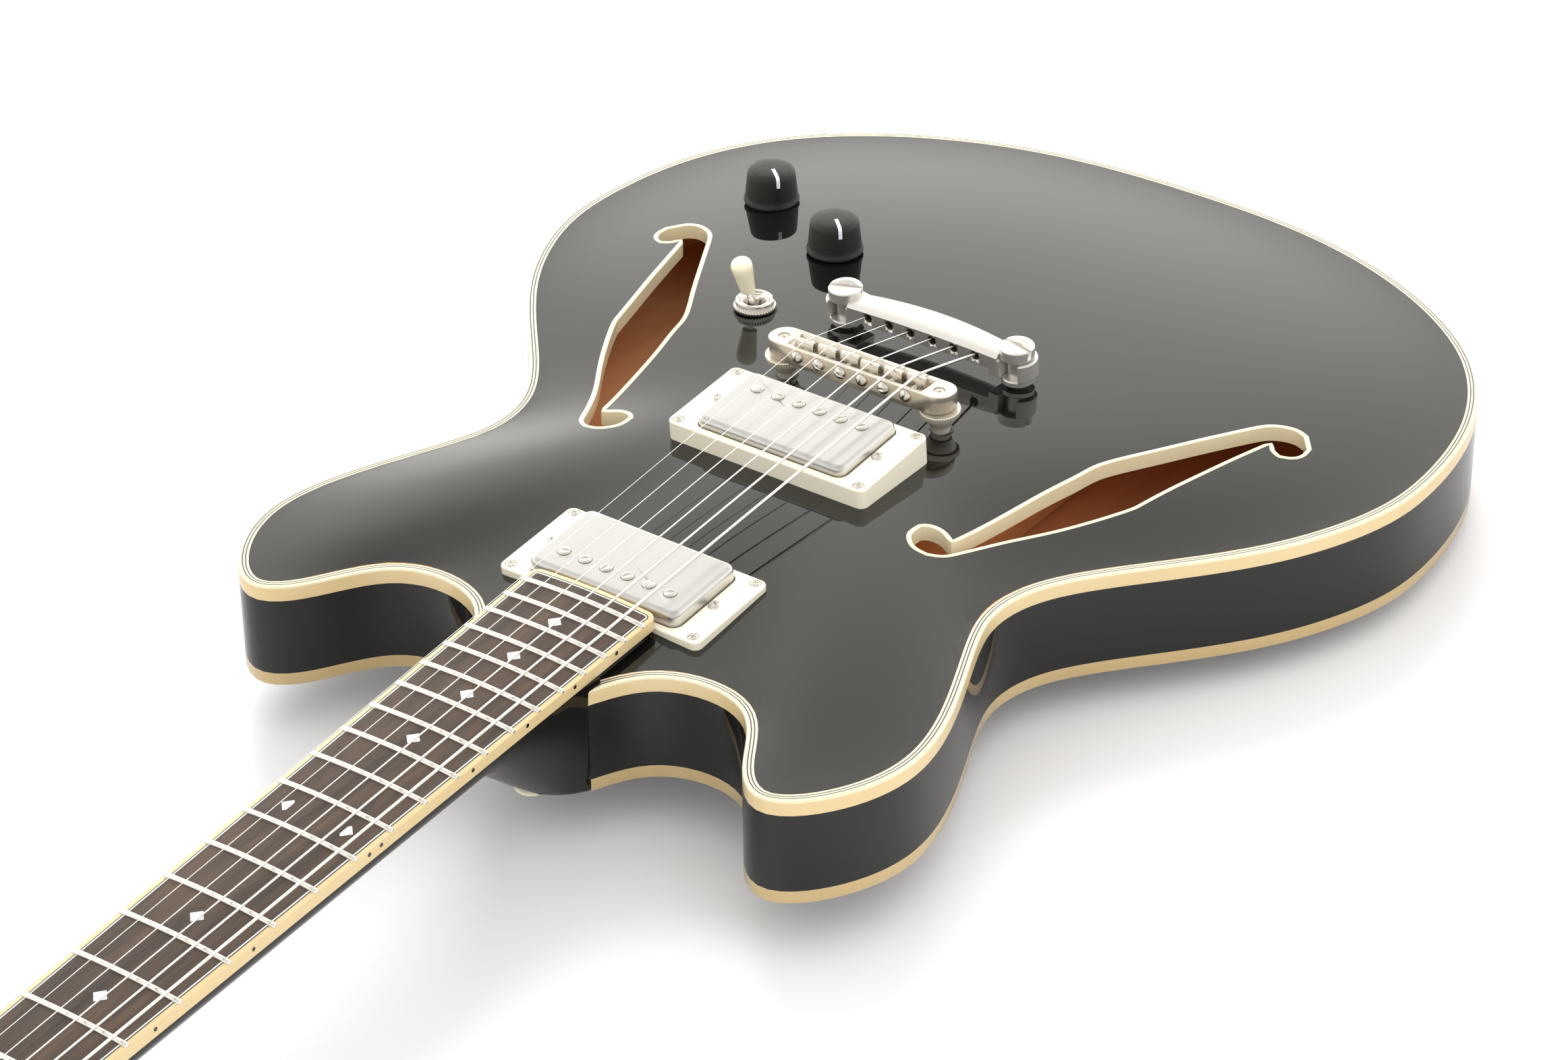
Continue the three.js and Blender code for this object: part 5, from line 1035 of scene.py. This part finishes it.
bpy.context.view_layer.objects.active = bar
trim = bar.modifiers.new("trim", "BOOLEAN")
trim.object, trim.operation, trim.solver = ends, "INTERSECT", "EXACT"
bpy.ops.object.modifier_apply(modifier=trim.name)
bpy.data.objects.remove(ends)
softened(welded(bar), 0.45)
carve(bar, plank("window", rounded(32.2, 5.1, 0.8, 3, (0, 0.1)), -4, 5))
carve(bar, *(plank("relief", rounded(8, 9, 0.5, 2, (sx * 38.5, 0)), -8, -4.7) for sx in (1, -1)))
carve(bar, *(plank("pit", circle(2.5, (sx * POST_X, 0)), -8, 5) for sx in (1, -1)),
      *(plank("seat", circle(2.85), -0.35, 2, place=seat) for seat in screw_seats))
painted(flattened(placed(welded(bar), neck_frame)), bridge_nickel)
fit(bar, "bridge", "bridge_nickel", "bridge_body")
ridges = [(1.1 - 0.18 * (k % 2), -13.6 + 0.32 * k) for k in range(42)]
thread = [(0, -13.9), (1, -13.9), *ridges, (1, 0), (0, 0)]
saddle_head = [(0, -0.35), (2.65, -0.35), (2.65, 0.3), (2.45, 0.9), (1.95, 1.4), (1.1, 1.75), (0, 1.85)]
adjusters = []
for seat, turn in zip(screw_seats, (1.29, -0.58, -0.36, 1.39, 0.26, 1.13)):
    adjusters.append(screw(saddle_head, slot_shape(7, 0.6, turn), 1.1, neck_frame @ seat))
    adjusters.append(turned("thread", thread, neck_frame @ seat, 12))
group("saddle_screws", adjusters, screw_nickel, "bridge", "tuner_nickel")
STRING_RADII, SADDLE_REST = (0.13, 0.17, 0.22, 0.33, 0.46, 0.59), (-0.9, -0.3, 0.5, -0.6, 0.5, 1.5)
NOTCH_Z = 4.2
saddle_section = [(-1.6, -3.6), (2.6, -3.6), (2.6, 0.9), (0.6, 4.5), (-0.5, 4.5), (-1.1, 3.4), (-1.6, 0.5)]
saddle_metal = metal("saddle_metal", (0.72, 0.69, 0.64), 0.16, 0.3)
for i, (x, rest, radius) in enumerate(zip(LANES, SADDLE_REST, STRING_RADII)):
    name, section = f"saddle_{i + 1}", [(rest + y, z) for y, z in saddle_section]
    saddle = placed(plank("block_" + name, section, x - SADDLE_HALF, x + SADDLE_HALF), ACROSS)
    softened(saddle, 0.18, segments=2)
    notch, bore = (at(x, rest, z) @ FORWARD for z in (NOTCH_Z + radius, SADDLE_SCREW_Z))
    carve(saddle, plank("notch", circle(radius + 0.06, count=16), -6, 6, place=notch),
          plank("bore", circle(1.35, count=20), -6, 6, place=bore))
    painted(flattened(placed(welded(saddle), neck_frame)), saddle_metal)
    fit(saddle, name, "tuner_nickel", name)


def ribbed(name, profile, ribs, place=Matrix(), depth=0.3):
    """A ring from a closed profile of (radius, height, share of ribs) triples."""
    turns = np.linspace(0, 2 * math.pi, ribs * 4, endpoint=False)
    wave = np.tile([0, 0.75, 1, 0.75], ribs)
    rings = []
    for radius, z, share in profile:
        reach = radius - depth * share * wave
        rings.append(np.stack([reach * np.cos(turns), reach * np.sin(turns), np.full(len(turns), z)], 1))
    return skin(name, rings, cyclic=True, place=place)


wheel_metal = metal("wheel_metal", (0.86, 0.8, 0.7), 0.28, 0.42)
wheel_metal.feed("Metallic", 0.7)
for side, name in HALVES:
    spot = neck_frame @ at(side * POST_X, 0)
    wheel = ribbed("wheel", [
        (3, -8.6, 0), (7.3, -8.6, 0.5), (8.0, -8.3, 1), (8.3, -6.6, 1), (8.2, -6.2, 0.5), (7.9, -5.9, 0),
        (3, -5.9, 0),
    ], 48, depth=0.4)
    pin = screw([(0, -10), (2.2, -10), (2.2, 1.5), (1.9, 1.8), (0, 1.8)],
                slot_shape(2.4, 0.6, 0.5 * side, True), 0.8)
    post = turned("post", [
        (0, -33.3), (3.8, -33.3), (3.8, -13.2), (4.5, -12.9), (6.7, -8.8), (6.7, -8.5), (0, -8.5),
    ])
    post = placed(joined("wheel_" + name, [wheel, pin, post]), spot)
    fit(painted(post, wheel_metal), "bridge_post_" + name, "bridge_nickel", "bridge_post_" + name)
    flush = float(on_top(np.array([(side * POST_X, 0.0)]))[0, 2])
    socket = hoop("bridge_socket_" + name, [
        (3.95, -22), (5, -22), (5, flush + 0.1), (4.8, flush + 0.25), (3.95, flush + 0.25),
    ], spot)
    fit(painted(socket, black_plastic), "body", "black_plastic")

# --- Tailpiece ---
# One cast bar, bowed towards the tail, ends in two open lugs that hook round its studs. Each
# stud has a broad slotted head and is screwed into the block.
BAR_FRONT, BAR_DEPTH, BAR_TOP, BAR_HEIGHT, BAR_END, HOLE_Z = 40.2, 16.6, -3.6, 8.8, 35.5, -8.5
tail_nickel = metal("tailpiece_nickel", (0.76, 0.735, 0.7), 0.24, 0.36, 70, (1, 1, 1), 0.003)
tail_nickel.feed("Metallic", 0.75)
BAR_POINTS = 30
lip_to_foot = smooth_curve([
    (0, -0.24), (0.13, -0.07), (0.45, 0), (0.78, -0.1), (0.98, -0.4), (0.99, -0.7), (0.78, -0.97), (0.42, -1),
    (0.03, -1),
], BAR_POINTS)
sections = []
for x in np.linspace(-BAR_END - 0.5, BAR_END + 0.5, 37):
    bow = (x / BAR_END) ** 2
    deep, tall = BAR_DEPTH - 3.6 * bow, BAR_HEIGHT - 1.1 * bow
    along, up = lip_to_foot.T
    sections.append(np.stack([
        np.full(BAR_POINTS, x), BAR_FRONT + along * deep, BAR_TOP - BAR_HEIGHT + tall * (1 + up),
    ], 1))
bar = skin("tail_bar", sections)
STRING_BORE, BALL_POCKET = (2, 45, -30, 30), (2.7, 42, -22, -6.3)  # radius, place and reach along the string
for radius, y, low, high in (STRING_BORE, BALL_POCKET):
    carve(bar, *(plank("bore", circle(radius), low, high, place=at(x, y, HOLE_Z) @ FORWARD) for x in LANES))
LUG_LOW, LUG_HIGH, LUG_RADIUS, MOUTH = -15.3, -7.3, 8.2, 4.3
lug = [(LUG_RADIUS * math.cos(t), LUG_RADIUS * math.sin(t)) for t in np.linspace(-1.019, math.pi / 2, 22)]
lug += [(-9.5, 6.2), (-9.5, -6.6), (-MOUTH, -6.99)]
lug += [(MOUTH * math.cos(t), MOUTH * math.sin(t)) for t in np.linspace(math.pi, 0, 18)]
lugs = []
for side in (1, -1):
    loop = [(side * x, y) for x, y in lug][::side]
    lugs.append(softened(plank("lug", loop, LUG_LOW, LUG_HIGH), 0.6, 50))
    placed(lugs[-1], at(side * STUD_X, TAIL_Y))
bar = joined("tail_bar", [welded(bar), *lugs])
painted(flattened(placed(bar, neck_frame)), tail_nickel)
fit(bar, "body", "bridge_nickel", "tailpiece")
# The dark tubes in the string bores are painted shade. They stand in for the shade inside the holes, which
# the bar's metal alone would show bright.
dark_bore = plain_finish("dark_bore", (0.05, 0.032, 0.02), 600, 0.5)
bore_shades = [hoop("sleeve", [(1.55, -8), (1.97, -8), (1.97, -0.5), (1.55, -0.5)],
                neck_frame @ at(x, BAR_FRONT, HOLE_Z) @ FORWARD, 24) for x in LANES]
group("bar_sleeves", bore_shades, dark_bore, "body", "steel_parts")
for (side, name), turn in zip(HALVES, (-0.22, 0.36)):
    stud = screw([
        (0, -39.8), (4, -39.8), (4, -17.8), (6.8, -17.8), (6.8, -16), (6.3, -15.6), (4, -15.6), (4, -7),
        (6.7, -7), (7, -6.7), (7, -2.5), (6.6, -2.05), (6, -2), (0, -2),
    ], slot_shape(16, 1.3, turn), 1.5, sides=48)
    stud.name = stud.data.name = "stud_" + name
    painted(flattened(placed(stud, neck_frame @ at(side * STUD_X, TAIL_Y))), tail_nickel)
    fit(stud, "body", "bridge_nickel", "tailpiece_" + stud.name)

# --- Strings ---
# The three thin strings are plain steel and the three thick ones are wound with fine nickel wire.
# Each runs from its ball in the tailpiece over its saddle and the nut, and twice round its post.


def cord(name, points, radius):
    """A round wire with ten sides along points, closed at both ends."""
    points = np.asarray(points, float)
    way = np.gradient(points, axis=0)
    way /= np.linalg.norm(way, axis=1)[:, None]
    side = np.cross(way[0], (0, 0, 1.0))
    rings = []
    for point, heading in zip(points, way):
        side = side - heading * (side @ heading)
        side /= np.linalg.norm(side)
        other = np.cross(heading, side)
        turn = np.linspace(0, 2 * math.pi, 10, endpoint=False)[:, None]
        rings.append(point + radius * (np.cos(turn) * side + np.sin(turn) * other))
    return skin(name, rings)


plain_string = metal("plain_string", (0.93, 0.92, 0.9), 0.14, 0.26)
wound_string = metal("wound_string", (0.92, 0.9, 0.87), 0.2, 0.32)
winding = wound_string.add("TexCoord", {}, {}, "Object")
winding = wound_string.add("Mapping", {}, {"Vector": winding, "Rotation": (NECK_TILT, 0, 0)})
winding = wound_string.add("TexWave", {"wave_type": "BANDS", "bands_direction": "Y"}, {
    "Vector": winding, "Scale": 780.0, "Distortion": 0.0,
})
wound_string.bump(winding, 0.05)
BALL_Y, NUT_PITCH, NUT_SLOT_Z, WINDING_TOP, WINDING_DROP, TURNS = 50.6, 7.2, 0.6, 10.5, 4, 4 * math.pi
for i, (x, radius, rest) in enumerate(zip(LANES, STRING_RADII, SADDLE_REST)):
    far_x, crest = (i - 2.5) * NUT_PITCH, NOTCH_Z + radius
    nut_z, entry = NUT_SLOT_Z + radius, HOLE_Z + 1.4 - radius
    route = [(x, BALL_Y, HOLE_Z), (x, 45, HOLE_Z + 0.5), (x, BAR_FRONT - 0.3, entry)]
    route += [(x, rest + back, crest - (crest - entry) * back / (BAR_FRONT - rest)) for back in (20, 2)]
    route += [(x, rest + 0.7, crest - 0.1), (x, rest, crest), (x, rest - 0.7, crest)]
    route += [(x + (far_x - x) * s, rest + (-SCALE_LENGTH - rest) * s, crest + (nut_z - crest) * s)
              for s in np.linspace(0.01, 1, 24)]
    route.append((far_x, -SCALE_LENGTH - 2.5, nut_z))
    (px, py), turn_radius = tuner_places[i], 2.8 + radius
    away = math.copysign(1, px)
    for t in np.linspace(0, TURNS, 49):
        spot = head_frame @ (Vector((
            px - away * turn_radius * math.cos(t), py - turn_radius * math.sin(t),
            WINDING_TOP - radius - (WINDING_DROP - 2 * radius) * t / TURNS,
        )) * MM)
        route.append((neck_frame.inverted() @ spot) / MM)
    wire = placed(cord("wire", route, radius), neck_frame)
    ball = turned("ball", [(0, -1.3), (1.9, -1.3), (1.9, -0.9), (1.5, 0), (1.9, 0.9), (1.9, 1.3), (0, 1.3)],
                  neck_frame @ at(x, BALL_Y, HOLE_Z) @ ALONG_X, 16)
    wire = joined(f"wire_{i + 1}", [wire, ball])
    fit(painted(wire, plain_string if i < 3 else wound_string), "body", "string_metal", f"string_{i + 1}")

# --- Knobs ---
# Two moulded knobs of satin black plastic, tapered and slightly domed, with a narrow flange. A
# plain white line across the upper edge of each is the pointer.
satin_black = Finish("knob_black", Base_Color=(0.006, 0.0065, 0.005))
satin_black.feed("Roughness", satin_black.grain(700, detail=4) * 0.22 + 0.36)
satin_black.bump(satin_black.grain(2200, detail=2), 0.012)
pointer_white = plain_finish("pointer_white", (0.8, 0.82, 0.86), 500, 0.4)
knob_profile = [
    (0, 4), (7.4, 4), (7.4, 0), (11.6, 0), (11.9, 0.3), (11.9, 1.1), (11.45, 1.7), (11.2, 3.5), (10.85, 7),
    (10.3, 12), (10.05, 13.4), (9.7, 14.1), (9.0, 14.65), (7.5, 15.05), (5, 15.35), (2.5, 15.48), (0, 15.5),
]
FLAT_SINK, FLAT_STAND = (0, -0.2), (0.06, 0.07)  # out and up from the knob, on its upper face
EDGE_SINK, EDGE_STAND = (-0.2, 0), (0.09, 0)  # and on its side
upper_radii, upper_heights = np.array(knob_profile[:9:-1]).T
radii = np.linspace(2.5, 9.0, 6)
pointer_rings = []
for spots, sink, stand in (
        (zip(radii, np.interp(radii, upper_radii, upper_heights)), FLAT_SINK, FLAT_STAND),
        (((9.9, 13.9), (10.07, 13.3), (10.32, 11.8), (10.5, 10.2)), EDGE_SINK, EDGE_STAND)):
    for r, z in spots:
        pointer_rings.append(np.array([(r + out, width, z + up) for width, (out, up) in (
            (-0.8, sink), (0.8, sink), (0.75, stand), (-0.75, stand),
        )]))
for name, (x, y), turn in (("volume", VOLUME, -0.72), ("tone", TONE, -0.65)):
    seat = at(x, y, float(top_arch.height(np.array((x, y)))) + 1)
    knob = turned("cap_" + name, knob_profile, seat, 72)
    fit(painted(knob, satin_black), "knob_" + name, "knob_black", "knob_" + name)
    shaft = turned("knob_shaft_" + name, [(0, -9), (3, -9), (3, 4.2), (0, 4.2)], seat, 24)
    fit(painted(shaft, steel), "knob_" + name, "steel_parts")
    pointer = skin("pointer_" + name, pointer_rings, place=seat @ Matrix.Rotation(turn, 4, "Z"))
    fit(painted(pointer, pointer_white), "knob_" + name, "cream_plastic")

# --- Switch ---
# A three-way switch hangs under the top by its bushing. A ribbed nut and washer hold it, and its
# steel lever carries a cream plastic tip.
PIVOT, NUT_RIBS = (*SWITCH, 57.402), 44
nut_place = at(*SWITCH, PIVOT[2] + 9)
switch_metal = metal("switch_metal", (0.78, 0.75, 0.71), 0.12, 0.26)
washer = ribbed("washer", [
    (5.9, -3.95, 0), (8.6, -3.95, 0.4), (9, -3.7, 1), (9, -2.9, 1), (8.6, -2.6, 0.4), (5.9, -2.6, 0),
], NUT_RIBS, nut_place, 0.6)
nut = ribbed("nut", [
    (5.7, -2.6, 0), (7.5, -2.6, 0), (7.8, -2.3, 1), (7.9, -1.5, 1), (7.9, -0.9, 0), (7.8, -0.3, 0),
    (7.3, 0.1, 0), (6.7, 0.1, 0), (6.2, -0.3, 0), (5.9, -1.2, 0), (5.7, -1.6, 0),
], NUT_RIBS, nut_place, 0.5)
bushing = hoop("bushing", [
    (3.3, -12), (5.8, -12), (5.8, -1), (5.5, -0.7), (5.1, -0.7), (4.7, -1.1), (4.2, -3.5), (3.3, -8),
], nut_place, 48)
case = pad("case", 7, 11, 1, -30, -12, 0.8, 0.8, nut_place)
housing = joined("switch_housing", [washer, nut, bushing, case])
fit(painted(housing, switch_metal), "body", "steel_parts", "toggle_housing")
LEAN_WAY, LEAN = -2.02, 0.222
leaning = at(*PIVOT) @ Matrix.Rotation(LEAN_WAY, 4, "Z") @ Matrix.Rotation(LEAN, 4, "Y")
lever = turned("switch_lever", [
    (0, -2.7), (1.3, -2.4), (2.3, -1.4), (2.7, 0), (2.3, 1.4), (1.5, 2.3), (1.5, 26), (0, 26),
], leaning, 32)
fit(painted(lever, switch_metal), "toggle", "steel_parts", "toggle_lever")
tip_side = [(3.2, 14.2), (3.5, 17), (4.05, 21.5), (4.5, 25), (4.15, 27.5), (2.7, 29), (0, 29.5)]
tip = turned("switch_tip", [(0, 13.6), (2.8, 13.6), (3.1, 13.8), *smooth_curve(tip_side, 24)], leaning, 40)
tip_cream = cream_finish("tip_cream", (0.99, 0.92, 0.67), (0.99, 0.94, 0.73))
fit(painted(tip, tip_cream), "toggle", "toggle_plastic", "toggle_tip")

# --- Jack ---
# The cable's socket is a steel tube, screwed through the treble side, with a plain round flange
# outside.
JACK_Y = 92.0
inward_x = at(-BODY_HALF_WIDTH, JACK_Y, SIDE_MIDDLE) @ ALONG_X
jack = turned("jack_socket", [
    (0, 17.5), (3.25, 17.5), (3.25, -2.2), (3.55, -2.5), (9.4, -2.5), (9.9, -2.2), (10, -1.7), (10, -0.9),
    (6, -0.9), (6, 24), (0, 24),
], inward_x, 48)
fit(painted(flattened(jack), switch_metal), "body", "steel_parts", "output_jack")

# --- Studio ---
# The guitar lies on a white table under broad soft light. It rests on its back and on the tip of
# its headstock, so the table is drawn tilted to it.
FLOOR_TILT, LAMP_SIZE = 0.0496, 1.6
floor_finish = Finish("table_white")
bpy.ops.object.select_all(action="DESELECT")
bpy.ops.mesh.primitive_plane_add(size=12)
table = bpy.context.object
table.name = table.data.name = "table"
table.data.transform(at(0, 120, -1.6) @ Matrix.Rotation(FLOOR_TILT, 4, "X"))
white = floor_finish.add("BsdfDiffuse", {}, {"Color": (0.9, 0.9, 0.915, 1)})
shine = floor_finish.add("Emission", {}, {"Color": (1, 1, 1, 1), "Strength": 1.0})
seen = floor_finish.add("LightPath", {}, {}, "Is Camera Ray")
glossy = floor_finish.add("LightPath", {}, {}, "Is Glossy Ray")
through = floor_finish.add("LightPath", {}, {}, "Is Transmission Ray")
dim = floor_finish.add("BsdfDiffuse", {}, {"Color": (0.36, 0.36, 0.365, 1)})
bare = floor_finish.add("MixShader", {}, [glossy * 0.5, white, dim])
mix = floor_finish.add("MixShader", {}, [seen * 0.07 + through * 0.07, bare, shine])
floor_finish.join(mix, floor_finish.tree.nodes["Material Output"].inputs["Surface"])
painted(table, floor_finish)

world = bpy.data.worlds.new("studio")
bpy.context.scene.world = world
world.use_nodes = True
sky = Finish.__new__(Finish)
sky.tree = world.node_tree
direction = sky.add("TexCoord", {}, {}, "Generated")
split = sky.add("SeparateXYZ", {}, [direction], "Z")
across = sky.add("VectorMath", {"operation": "DOT_PRODUCT"}, [direction, (-0.55, 0.83, 0)], "Value")
height = sky.ramp(split * 0.5 + 0.5, [
    (0.0, (0.35, 0.35, 0.34)), (0.5, (0.8, 0.79, 0.76)), (0.64, (0.85, 0.84, 0.8)),
    (0.76, (0.66, 0.65, 0.61)), (0.88, (0.5, 0.49, 0.46)), (1.0, (0.4, 0.39, 0.37)),
])
reflected = sky.add("Background", {}, {"Color": height, "Strength": across * 0.8 + 2.1})
spread = sky.add("Background", {}, {"Color": (1.0, 0.985, 0.96, 1), "Strength": 1.18})
mirror = sky.add("LightPath", {}, {}, "Is Glossy Ray")
sky.join(sky.add("MixShader", {}, [mirror, spread, reflected]),
         world.node_tree.nodes["World Output"].inputs["Surface"])


def lamp(name, place, power):
    """A broad round lamp, aimed at the middle of the body."""
    light = bpy.data.lights.new(name, "AREA")
    light.shape, light.size, light.energy = "DISK", LAMP_SIZE, power
    holder = bpy.data.objects.new(name, light)
    holder.location = place
    holder.rotation_euler = (-Vector(place)).to_track_quat("-Z", "Y").to_euler()
    holder.visible_glossy = False
    bpy.context.scene.collection.objects.link(holder)


lamp("window", (-1.1, 1.3, 1.9), 46)
lamp("fill", (1.2, -0.9, 2.0), 10)

# --- Camera ---
# Its place, aim and lens were solved from the photograph's fret ends, screws and outline. It
# stands on the bass side above the neck, about 1.8 m away.
FILM_WIDTH, FOCAL_PIXELS, PICTURE_PIXELS = 36, 6575.8, 2324
camera = bpy.data.cameras.new("camera")
camera.sensor_width, camera.lens = FILM_WIDTH, FOCAL_PIXELS * FILM_WIDTH / PICTURE_PIXELS
camera.clip_end = 50
view = bpy.data.objects.new("camera", camera)
right = Vector((0.8073, 0.59007, -0.0091))
down = Vector((0.30752, -0.43379, -0.84691))
ahead = Vector((-0.50368, 0.68092, -0.53166))
turn = Matrix((right, -down, -ahead)).transposed().to_4x4()
view.matrix_world = Matrix.Translation((0.86506, -1.22109, 0.94323)) @ turn
bpy.context.scene.collection.objects.link(view)
bpy.context.scene.camera = view
bpy.context.scene.view_settings.view_transform = "Standard"
